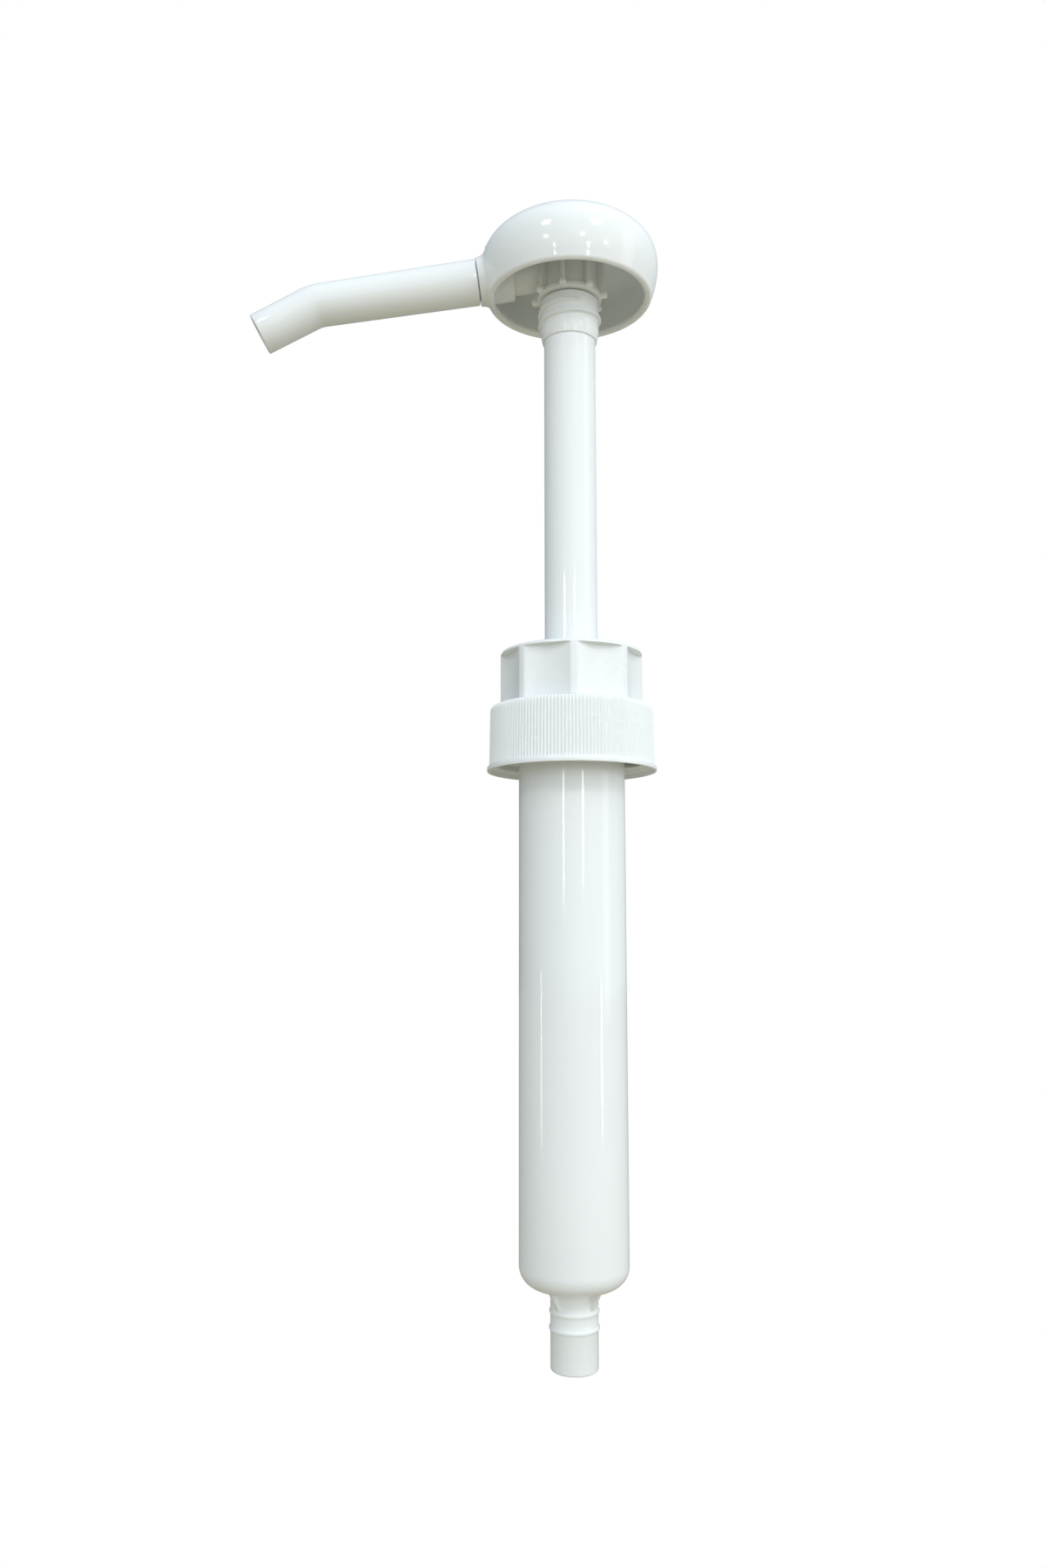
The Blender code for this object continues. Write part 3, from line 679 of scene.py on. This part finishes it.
def make_cap():
    outside = quarter((cap_top_r - 1.1, cap_top - 1.1), (1.1, 1.1), 90, 0, 5)
    rib_foot = cap_low + 1.5
    outside += [(cap_top_r, cap_top - 2.0), (cap_low_r, rib_foot + 0.3), (cap_low_r, rib_foot)]
    lip = [(cap_low_r, rib_foot - 0.05), (cap_low_r, rib_foot - 0.3), (cap_lip_r, rib_foot - 0.45, 0.25)]
    lip += [(cap_lip_r, cap_low, 0.15), (MOUTH_R, cap_low, 0.1), (MOUTH_R - 0.4, cap_low + 1.1, 0.2)]
    lip += [(CAP_WALL_R, cap_low + MOUTH_RISE, 0.4), (CAP_WALL_R, 0.0)]
    plate_low = cap_top - CAP_PLATE
    plate = [(CAP_WALL_R, 2.0), (CAP_WALL_R, plate_low, 0.4), (CAP_HOLE_R, plate_low, 0.2)]
    plate += [(CAP_HOLE_R, cap_top, 0.3), (cap_top_r - 1.3, cap_top)]
    outside += rounded(lip, closed=False, steps=3) + rounded(plate, closed=False, steps=3)
    cap = turned("screw_cap", outside, steps=RIBS * RIB_COLUMNS)
    edit(cap)
    pitch = 2 * math.pi / RIBS
    depths = {0: 0.0, 1: 0.25, 2: 0.85, 3: 1.0, 4: 0.85, 5: 0.25}

    def on_column(column):
        def test(place):
            around = math.atan2(place.y, place.x) / pitch * RIB_COLUMNS
            in_wall = rib_foot - 0.01 < place.z < cap_top - 0.05 and place.xy.length > cap_top_r - 1.05
            return in_wall and round(around) % RIB_COLUMNS == column
        return test

    for column, depth in depths.items():
        if depth:
            select_points(cap, on_column(column))
            shrink = 1 - depth * RIB_DEPTH / cap_low_r
            bpy.ops.transform.resize(value=(shrink, shrink, 1.0), center_override=(0.0, 0.0, 0.0))
    done(cap)
    thread = screw_thread(
        "cap_thread", CAP_WALL_R, CAP_THREAD_R, low=-7.6, pitch=CAP_PITCH, turns=1.25, width=2.3, steps=72
    )
    return combine(cap, thread)


finished(make_cap(), cap_white, "closure", "closure_cap", sharp=50)

# %% [markdown]
# ## Collar nut
# The nut that holds the pump together has eight shallow flutes with narrow lands between them. It
# is spun round first, then each set of columns at the same distance from a flute's middle is drawn
# in by the depth of the flute there; two rows above it are drawn in part way, so it fades out under the top
# edge.

# %% Collar nut
FLUTES = 8
FLUTE_COLUMNS = 48
LAND = 1.6
FLUTE_FLOOR_R = 15.9
FLUTE_TOP = 1.0
NUT_BORE_R = 14.8
NUT_PLATE = 2.0
LOCK_BORE_R = 8.5
LOCK_SLEEVE_R = 10.0
LOCK_SLEEVE_Z = 11.5

nut_r, nut_low, nut_top = span("collar_nut")


def flute_radius(angle):
    """The nut's outer radius at an angle from the middle of a flute."""
    half = math.pi / FLUTES - LAND / nut_r / 2
    chord = nut_r * math.sin(half)
    sagitta = nut_r * math.cos(half) - FLUTE_FLOOR_R
    hollow = (chord**2 + sagitta**2) / (2 * sagitta)
    reach = FLUTE_FLOOR_R + hollow
    if abs(angle) >= half:
        return nut_r
    return reach * math.cos(angle) - math.sqrt(hollow**2 - (reach * math.sin(angle)) ** 2)


def make_nut():
    edge = quarter((nut_r - 0.8, nut_top - 0.8), (0.8, 0.8), 90, 0, 6)
    run_out = {0.16: 0.2, 0.08: 0.6}
    edge += [(nut_r, nut_top - FLUTE_TOP + above) for above in run_out]
    skirt = [(nut_r, nut_top - FLUTE_TOP), (nut_r, nut_low, 0.25), (NUT_BORE_R, nut_low, 0.3)]
    skirt.append((NUT_BORE_R, 12.0))
    plate_low = nut_top - NUT_PLATE
    inside = [(NUT_BORE_R, 13.0), (NUT_BORE_R, plate_low, 0.5), (LOCK_SLEEVE_R, plate_low, 0.3)]
    inside += [(LOCK_SLEEVE_R, LOCK_SLEEVE_Z, 0.2), (LOCK_BORE_R, LOCK_SLEEVE_Z, 0.2)]
    inside.append((LOCK_BORE_R, nut_top, 0.4))
    inside.append((nut_r - 2.4, nut_top))
    edge += rounded(skirt, closed=False, steps=3) + rounded(inside, closed=False, steps=3)
    nut = turned("fluted_nut", edge, steps=FLUTES * FLUTE_COLUMNS)
    edit(nut)
    pitch = 2 * math.pi / FLUTES
    for offset in range(FLUTE_COLUMNS // 2 + 1):
        angle = pitch * offset / FLUTE_COLUMNS
        shrink = flute_radius(angle) / nut_r
        if shrink > 0.9999:
            continue

        def test(place):
            around = (math.atan2(place.y, place.x) / pitch) % 1.0
            column = round(abs(around - 0.5) * FLUTE_COLUMNS)
            above = place.z - (nut_top - FLUTE_TOP + reach_up)
            at_height = above < 0.01 if reach_up == 0.0 else abs(above) < 0.01
            return place.xy.length > nut_r - 1.0 and column == offset and at_height

        for reach_up, share in ((0.0, 1.0), *run_out.items()):
            select_points(nut, test)
            draw_in = 1 - (1 - shrink) * share
            bpy.ops.transform.resize(value=(draw_in, draw_in, 1.0), center_override=(0.0, 0.0, 0.0))
    done(nut)
    grip = screw_thread("nut_thread", NUT_BORE_R, NUT_BORE_R - 0.75, low=8.1, pitch=PUMP_PITCH, turns=2.0)
    combine(nut, grip)
    lock = screw_thread(
        "lock_thread", LOCK_BORE_R, LOCK_BORE_R - 0.55, low=13.2, pitch=PUMP_PITCH, turns=1.8, width=1.3
    )
    return combine(nut, lock)


finished(make_nut(), cap_white, "pump_body", "collar_nut")

# %% [markdown]
# ## Stem
# The stem is a plain polished tube that carries, just under the head, a ring and a short coarse
# thread. When the head is screwed down into the nut, this thread locks the pump shut for shipping.

# %% Stem
STEM_BORE_R = 4.9
STEM_R = 6.65
LOCK_ROOT_R = 7.6
LOCK_RING_R = 7.05

stem_low, stem_top = span("stem")[1:]


def make_stem():
    lock_low = stem_top - 8.5
    ring_low = stem_top - 11.1
    profile = rounded([(LOCK_ROOT_R - 0.5, stem_top, 0.1), (LOCK_ROOT_R, stem_top - 0.5, 0.2),
                       (LOCK_ROOT_R, lock_low, 1.5), (LOCK_RING_R, ring_low, 0.2),
                       (STEM_R, ring_low - 0.2, 0.1), (STEM_R, ring_low - 0.8)], closed=False)
    for step in range(1, 12):
        profile.append((STEM_R, ring_low - step * 9.5))
    profile += rounded([(STEM_R, stem_low + 2), (STEM_R, stem_low, 0.4), (STEM_BORE_R, stem_low, 0.3),
                        (STEM_BORE_R, stem_low + 8)], closed=False)
    profile.append((STEM_BORE_R, stem_top))
    stem = turned("pump_stem", profile, steps=96)
    lock = screw_thread(
        "lock", LOCK_ROOT_R, LOCK_ROOT_R + 0.65, low=lock_low + 1.3, pitch=PUMP_PITCH, turns=1.5, start=1.9,
        width=1.9,
    )
    return combine(stem, lock)


finished(make_stem(), stem_white, "head", "stem")

# %% [markdown]
# ## Spout
# The spout is a tube that tapers a little and bends down near its end. By hand: a circle is extruded
# along the straight run, spun through the bend about a point below it, and extruded on to the
# tip. Solidify gives it a wall, and the rims are bevelled.

# %% Spout
JOINT = Vector((-23.9, 0.0, 119.7))
BEND = Vector((-66.5, 0.0, 113.1))
TIP = Vector((-80.9, 0.0, 105.2))
BEND_RADIUS = 10.0
SPOUT_ROOT_R = 5.75
SPOUT_TAPER = 0.55
SPOUT_WALL = 1.5

along = (BEND - JOINT).normalized()
after = (TIP - BEND).normalized()
droop = math.atan2(-along.z, -along.x)
bend_angle = along.angle(after)


def spout_radius(distance):
    length = (BEND - JOINT).length + (TIP - BEND).length
    return SPOUT_ROOT_R - SPOUT_TAPER * distance / length


def make_spout():
    select_only()
    start = JOINT + along * 0.3
    bpy.ops.mesh.primitive_circle_add(
        vertices=72, radius=spout_radius(0) * MM, fill_type="NOTHING", location=start * MM,
        rotation=(0.0, math.pi / 2 - droop, 0.0),
    )
    spout = bpy.context.object
    spout.name = "bent_spout"
    bpy.ops.object.mode_set(mode="EDIT")
    bpy.ops.mesh.select_all(action="SELECT")
    tangent = BEND_RADIUS * math.tan(bend_angle / 2)
    straight = (BEND - along * tangent - start).length
    pieces = 8
    place = start
    for step in range(pieces):
        move = along * straight / pieces
        place = place + move
        bpy.ops.mesh.extrude_edges_move(TRANSFORM_OT_translate={"value": move * MM})
        taper = spout_radius(straight * (step + 1) / pieces) / spout_radius(straight * step / pieces)
        bpy.ops.transform.resize(value=(taper, taper, taper), center_override=place * MM)
    below = Vector((along.z, 0.0, -along.x))
    below = -below if below.z > 0 else below
    centre = place + below * BEND_RADIUS
    bpy.ops.mesh.spin(steps=14, angle=bend_angle, center=centre * MM, axis=(0.0, 1.0, 0.0))
    place = BEND + after * tangent
    rest = (TIP - place).length
    for step in range(3):
        move = after * rest / 3
        place = place + move
        bpy.ops.mesh.extrude_edges_move(TRANSFORM_OT_translate={"value": move * MM})
        bpy.ops.transform.resize(value=(0.994, 0.994, 0.994), center_override=place * MM)
    bpy.ops.mesh.select_all(action="SELECT")
    bpy.ops.mesh.remove_doubles(threshold=0.000001)
    bpy.ops.mesh.normals_make_consistent(inside=False)
    done(spout)
    apply_modifier(spout, "SOLIDIFY", thickness=SPOUT_WALL * MM, offset=-1.0)
    apply_modifier(spout, "BEVEL", width=0.28 * MM, segments=3, limit_method="ANGLE")
    return spout


spout = make_spout()
report(spout)

# %% [markdown]
# Its root is a thinner spigot that plugs into the head. It is a short turned tube, laid along
# the spout and joined to it.


# %% Spigot
def laid_along(piece, origin):
    """Turns a piece made about the axis so that its top points out along the spout."""
    piece.rotation_euler = along.to_track_quat("Z", "Y").to_euler()
    piece.location = origin * MM
    return done(piece)


def make_spigot():
    profile = rounded([(4.6, 2.0), (4.6, -7.2, 0.4), (3.9, -7.2, 0.2), (3.9, 2.0)], closed=True)
    return laid_along(turned("spigot", profile, steps=72), JOINT)


combine(spout, make_spigot())
finished(spout, gloss_white, "head", "spout", sharp=40)

# %% [markdown]
# ## Head
# The head is a mushroom, open underneath: a thin domed shell with a soft rim, and inside it a ribbed
# socket that takes the stem, with small lugs round its foot, and the channel that leads to the
# spout. The shell is turned; the rest is added by union and the bores are then cut through.

# %% Dome shell
DOME_WALL = 2.0
RIM_DROP = 20.95
WIDEST_DROP = 12.2
SKIRT_REACH = 21.6
HUB_R = 7.5
HUB_RING_R = 8.4
HUB_TURN = 32.0

dome_r, hub_low, dome_top = span("head_dome")
hub_foot = stem_top + 0.3
rim_z = dome_top - RIM_DROP
widest_z = dome_top - WIDEST_DROP


def dome_line(inset, first, last, steps):
    """The dome's outline: full shoulders above its widest ring, a long ellipse drawn in below."""
    crown = dome_top - widest_z - inset
    points = quarter((0.0, widest_z), (dome_r - inset, crown), first, 0, steps, power=2.25)
    for step in range(1, 8):
        height = widest_z - (widest_z - rim_z - 0.9) * step / 7
        drop = (widest_z - height) / SKIRT_REACH
        points.append((dome_r * math.sqrt(1 - drop**2) - inset, height))
    return points


def make_shell():
    outer = dome_line(0.0, 90, 0, 26)
    inner = dome_line(DOME_WALL, 90, 0, 20)
    gate = [(0.0, dome_top - 0.3), (0.7, dome_top - 0.3), (1.0, dome_top - 0.42), (2.6, dome_top - 0.42)]
    outer = gate + [(3.0, dome_top - 0.12)] + [point for point in outer if point[0] > 3.6]
    middle = ((outer[-1][0] + inner[-1][0]) / 2, rim_z + 0.9)
    rim = quarter(middle, (DOME_WALL / 2 - 0.02, 0.95), -8, -172, 8)
    inner[0] = (0.0, inner[0][1])
    return turned("dome", outer + rim + inner[::-1], steps=144, closed=False)


dome = make_shell()
report(dome)


# %% [markdown]
# The socket's ribs are slim blocks with eased edges, one made at a time and turned into place; the
# lugs stand under them on a plain ring.


# %% Socket and channel
def turned_block(name, inner, outer, width, low, high, angle, ease):
    """A block standing out from the axis between two radii, turned into place about it."""
    select_only()
    size = Vector((outer - inner, width, high - low))
    middle = Vector(((inner + outer) / 2, 0.0, (low + high) / 2))
    bpy.ops.mesh.primitive_cube_add(size=1.0, location=middle * MM, scale=size * MM)
    item = done(bpy.context.object)
    item.name = name
    apply_modifier(item, "BEVEL", width=ease * MM, segments=3, limit_method="ANGLE")
    item.rotation_euler = (0.0, 0.0, math.radians(angle))
    return done(item)


def make_socket():
    hub_top = dome_top - 1.0
    corners = [(0.0, hub_top), (HUB_R, hub_top), (HUB_R, hub_foot + 1.9, 0.3)]
    corners += [(HUB_RING_R, hub_foot + 1.5, 0.3), (HUB_RING_R, hub_foot, 0.35)]
    corners += [(4.6, hub_foot), (4.6, hub_low, 0.3), (0.0, hub_low)]
    profile = rounded(corners, closed=False)
    socket = turned("socket", profile, steps=96, closed=False)
    for index in range(8):
        angle = HUB_TURN + 45 * index
        combine(socket, turned_block("rib", 6.6, 9.2, 1.1, hub_foot + 1.0, hub_top - 0.8, angle, 0.3))
        combine(socket, turned_block("lug", 7.4, 10.0, 1.7, hub_foot + 0.1, hub_foot + 1.6, angle, 0.35))
    return socket


def make_channel():
    """The tube from the socket to the spout's boss, flared where it meets the dome."""
    profile = [(0.0, 0.0), (5.95, 0.0), (6.1, -0.15)]
    profile += quarter((8.8, -0.4), (2.7, 2.7), 180, 262, 8)
    steps = [(8.4, -3.2), (6.0, -3.2), (6.0, -8.9, 0.5), (4.7, -9.2, 0.4), (4.7, -24.2), (0.0, -24.2)]
    profile += rounded(steps, closed=False)
    return laid_along(turned("channel", profile, steps=96, closed=False), JOINT)


combine(dome, make_socket())
combine(dome, make_channel())
report(dome)


# %% Bores
HUB_BORE_R = 3.4
HUB_BORE_TOP = 124.0
CHANNEL_BORE_R = 3.0
SPIGOT_BORE_R = 4.9


def bore(name, radius, low, high, origin=None):
    tool = turned(name, [(0.0, high), (radius, high), (radius, low), (0.0, low)], steps=72, closed=False)
    return laid_along(tool, origin) if origin else tool


combine(dome, bore("hub_bore", HUB_BORE_R, hub_low - 3, HUB_BORE_TOP), "DIFFERENCE")
combine(dome, bore("channel_bore", CHANNEL_BORE_R, -23.8, 3.0, JOINT), "DIFFERENCE")
combine(dome, bore("spout_socket", SPIGOT_BORE_R, -7.6, 3.0, JOINT), "DIFFERENCE")
finished(dome, dome_white, "head", "head_dome", sharp=38)

# %% [markdown]
# ## Inside the pump
# The pieces that nobody sees until the pump is opened are turned too: the bush and its wiper, the
# gaskets, the piston with its two lip seals, and the cages of the two valves. They are plain
# shapes, and what matters is that their edges are soft and their walls even.


# %% Rings
def ring(name, node, inner, ease, material, body):
    outer, low, high = span(node)
    profile = rounded([(outer, high, ease), (outer, low, ease), (inner, low, ease), (inner, high, ease)])
    return finished(turned(name, profile, steps=96), material, body, node)


ring("gasket_neck", "neck_gasket", 13.5, 0.3, seal_white, "pump_body")
ring("gasket_bush", "bush_gasket", 11.7, 0.2, seal_white, "pump_body")
ring("washer_upstroke", "upstroke_washer", 7.0, 0.4, seal_white, "pump_body")
ring("retainer", "piston_retainer", 8.3, 0.3, natural, "piston")
ring("washer_spring", "spring_washer", 8.3, 0.2, natural, "piston")

# %% Bush, wiper and cage
GUIDE_R = STEM_R + 0.2
BUSH_DEPTH = 9.3
BUSH_CUP_R = 11.1
BUSH_SLEEVE_R = 8.6
CAGE_R = 7.2
CAGE_BORE_R = 5.8
CAGE_TOP_HOLE_R = 2.5
CAGE_WINDOW = (20.0, 5.0, 4.4)

bush_r, bush_low, bush_top = span("stem_bush")


def make_bush():
    plate = bush_top - BUSH_DEPTH
    corners = [(bush_r, bush_top, 0.3), (bush_r, bush_top - 1.6, 0.3), (BUSH_CUP_R, bush_top - 1.6, 0.3)]
    corners += [(BUSH_CUP_R, plate - 1.7, 0.4), (BUSH_SLEEVE_R, plate - 1.7, 0.4)]
    corners.append((BUSH_SLEEVE_R, bush_low, 0.3))
    corners += [(GUIDE_R, bush_low, 0.3), (GUIDE_R, plate, 0.4), (10.4, plate, 0.4), (10.4, bush_top, 0.2)]
    return turned("bush", rounded(corners), steps=96)


def make_wiper():
    outer, low, high = span("stem_wiper")
    corners = [(outer, high, 0.3), (outer, low, 0.3), (GUIDE_R + 0.6, low, 0.15)]
    corners += [(GUIDE_R, low + 0.8, 0.15), (GUIDE_R, high - 0.8, 0.15), (GUIDE_R + 0.6, high, 0.15)]
    return turned("wiper", rounded(corners), steps=96)


def make_inlet_cage():
    seat, low, high = span("ball_cage")
    corners = [(CAGE_R, high, 0.5), (CAGE_R, low + 2.3, 0.4), (seat, low + 2.3, 0.3)]
    corners += [(seat - 0.4, low + 1.3, 0.2), (9.0, low, 0.2), (CAGE_BORE_R, low, 0.2)]
    corners += [(CAGE_BORE_R, high - 1.6, 0.4), (CAGE_TOP_HOLE_R, high - 1.6, 0.2)]
    corners.append((CAGE_TOP_HOLE_R, high, 0.3))
    cage = turned("inlet_cage", rounded(corners), steps=96)
    for index in range(2):
        select_only()
        middle = Vector((0.0, 0.0, high - 4.6))
        bpy.ops.mesh.primitive_cube_add(size=1.0, location=middle * MM, scale=Vector(CAGE_WINDOW) * MM)
        window = done(bpy.context.object)
        apply_modifier(window, "BEVEL", width=0.8 * MM, segments=4, limit_method="ANGLE")
        window.rotation_euler = (0.0, 0.0, math.pi / 2 * index)
        combine(cage, done(window), "DIFFERENCE")
    return cage


finished(make_bush(), natural, "pump_body", "stem_bush")
finished(make_wiper(), seal_white, "pump_body", "stem_wiper")
finished(make_inlet_cage(), natural, "pump_body", "ball_cage")

# %% Piston and its seals
CORE_R = 8.0
CORE_BORE_R = 2.2
CORE_DISC_R = 10.9
CORE_DISC_LOW, CORE_DISC_HIGH = -11.4, -9.9
CUP_GRIP_R = 8.3

core_low, core_top = span("piston_core")[1:]


def make_core():
    socket_foot = core_top - 10.0
    profile = rounded([(CORE_R, core_top, 0.3), (CORE_R, CORE_DISC_HIGH, 0.2),
                       (CORE_DISC_R, CORE_DISC_HIGH, 0.3), (CORE_DISC_R, CORE_DISC_LOW, 0.3),
                       (CORE_R, CORE_DISC_LOW, 0.2), (CORE_R, core_low, 0.4), (CORE_BORE_R, core_low, 0.2),
                       (CORE_BORE_R, -15.4), (4.6, socket_foot), (STEM_R + 0.3, socket_foot, 0.2),
                       (STEM_R + 0.3, core_top, 0.3)])
    return turned("core", profile, steps=96)


def make_cup(name, node, base_up):
    """A lip seal: a foot that grips the core and a thin lip that leans out to the bore."""
    outer, low, high = span(node)
    foot, tip, step = (low, high, 1.4) if base_up else (high, low, -1.4)
    profile = [(outer, tip, 0.1), (outer - 0.5, foot, 0.4), (CUP_GRIP_R, foot, 0.2),
               (CUP_GRIP_R, foot + step, 0.2), (9.6, foot + step, 0.5), (outer - 0.6, tip, 0.1)]
    return turned(name, rounded(profile if base_up else profile[::-1]), steps=96)


def make_outlet_cage():
    outer, low, high = span("outlet_cage")
    profile = rounded([(outer, high, 0.3), (outer, low, 0.3), (3.9, low, 0.2), (3.9, high, 0.3)])
    cage = turned("cage_outlet", profile, steps=72)
    for index in range(2):
        bar = turned_block("bar", -4.3, 4.3, 1.2, low + 0.02, low + 1.35 - 0.1 * index, 90 * index, 0.2)
        combine(cage, bar)
    return cage


finished(make_core(), natural, "piston", "piston_core")
cup_upper = make_cup("cup_upper", "piston_cup_upper", True)
cup_lower = make_cup("cup_lower", "piston_cup_lower", False)
finished(cup_upper, seal_white, "piston", "piston_cup_upper")
finished(cup_lower, seal_white, "piston", "piston_cup_lower")
finished(make_outlet_cage(), natural, "head", "outlet_cage")


# %% Valve balls
def make_valve_ball(name, node, body):
    """A ground steel ball, polished by a subdivided sphere so that no facet shows."""
    low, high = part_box(node)
    select_only()
    middle = (low + high) / 2
    bpy.ops.mesh.primitive_ico_sphere_add(subdivisions=4, radius=(high.z - low.z) / 2, location=middle)
    ball = bpy.context.object
    ball.name = name
    edit(ball)
    bpy.ops.mesh.select_all(action="SELECT")
    bpy.ops.transform.tosphere(value=1.0)
    done(ball)
    return finished(ball, ball_steel, body, node, sharp=60)


make_valve_ball("ball_inlet", "inlet_ball", "inlet_valve")
make_valve_ball("ball_outlet", "outlet_ball", "outlet_valve")

# %% [markdown]
# ## Spring
# The spring is one wire with twelve turns: the end turns lie flat against their neighbours and the
# ten between them are open. Three sweeps of the same round section make it, one for each end and
# one for the middle.

# %% Return spring
SPRING_R = 9.55
WIRE_R = 0.65
OPEN_TURNS = 10
TURN_STEPS = 56

spring_low, spring_high = span("return_spring")[1:]


def coil(name, low, rise, turns):
    select_only()
    bpy.ops.mesh.primitive_circle_add(
        vertices=16, radius=WIRE_R * MM, fill_type="NOTHING", location=(SPRING_R * MM, 0.0, low * MM),
        rotation=(math.pi / 2, 0.0, 0.0),
    )
    wire = bpy.context.object
    wire.name = name
    done(wire)
    count = TURN_STEPS * turns
    apply_modifier(
        wire, "SCREW", angle=2 * math.pi * turns, screw_offset=rise * MM, steps=count, render_steps=count,
        use_merge_vertices=False,
    )
    return wire


def make_spring():
    foot = spring_low + WIRE_R
    flat = 2.15 * WIRE_R
    middle = spring_high - WIRE_R - foot - 2 * flat
    lower = coil("coil_lower", foot, flat, 1)
    spring = coil("spring", foot + flat, middle, OPEN_TURNS)
    upper = coil("coil_upper", foot + flat + middle, flat, 1)
    select_only(spring, lower, upper)
    bpy.ops.object.join()
    edit(spring)
    bpy.ops.mesh.select_all(action="SELECT")
    bpy.ops.mesh.remove_doubles(threshold=0.00001)
    bpy.ops.mesh.select_all(action="DESELECT")
    bpy.ops.mesh.select_non_manifold()
    bpy.ops.mesh.edge_face_add()
    bpy.ops.mesh.select_all(action="SELECT")
    bpy.ops.mesh.normals_make_consistent(inside=False)
    return done(spring)


spring = finished(make_spring(), wire_steel, "pump_body", "return_spring", sharp=60)
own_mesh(spring)

# %% Finish
bpy.context.view_layer.update()
visual_box = [list(corner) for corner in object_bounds()]
for side, (first, second) in enumerate(zip(cad_box, visual_box)):
    print(("low", "high")[side], [round((b - a) / MM, 3) for a, b in zip(first, second)], "mm off the frame")
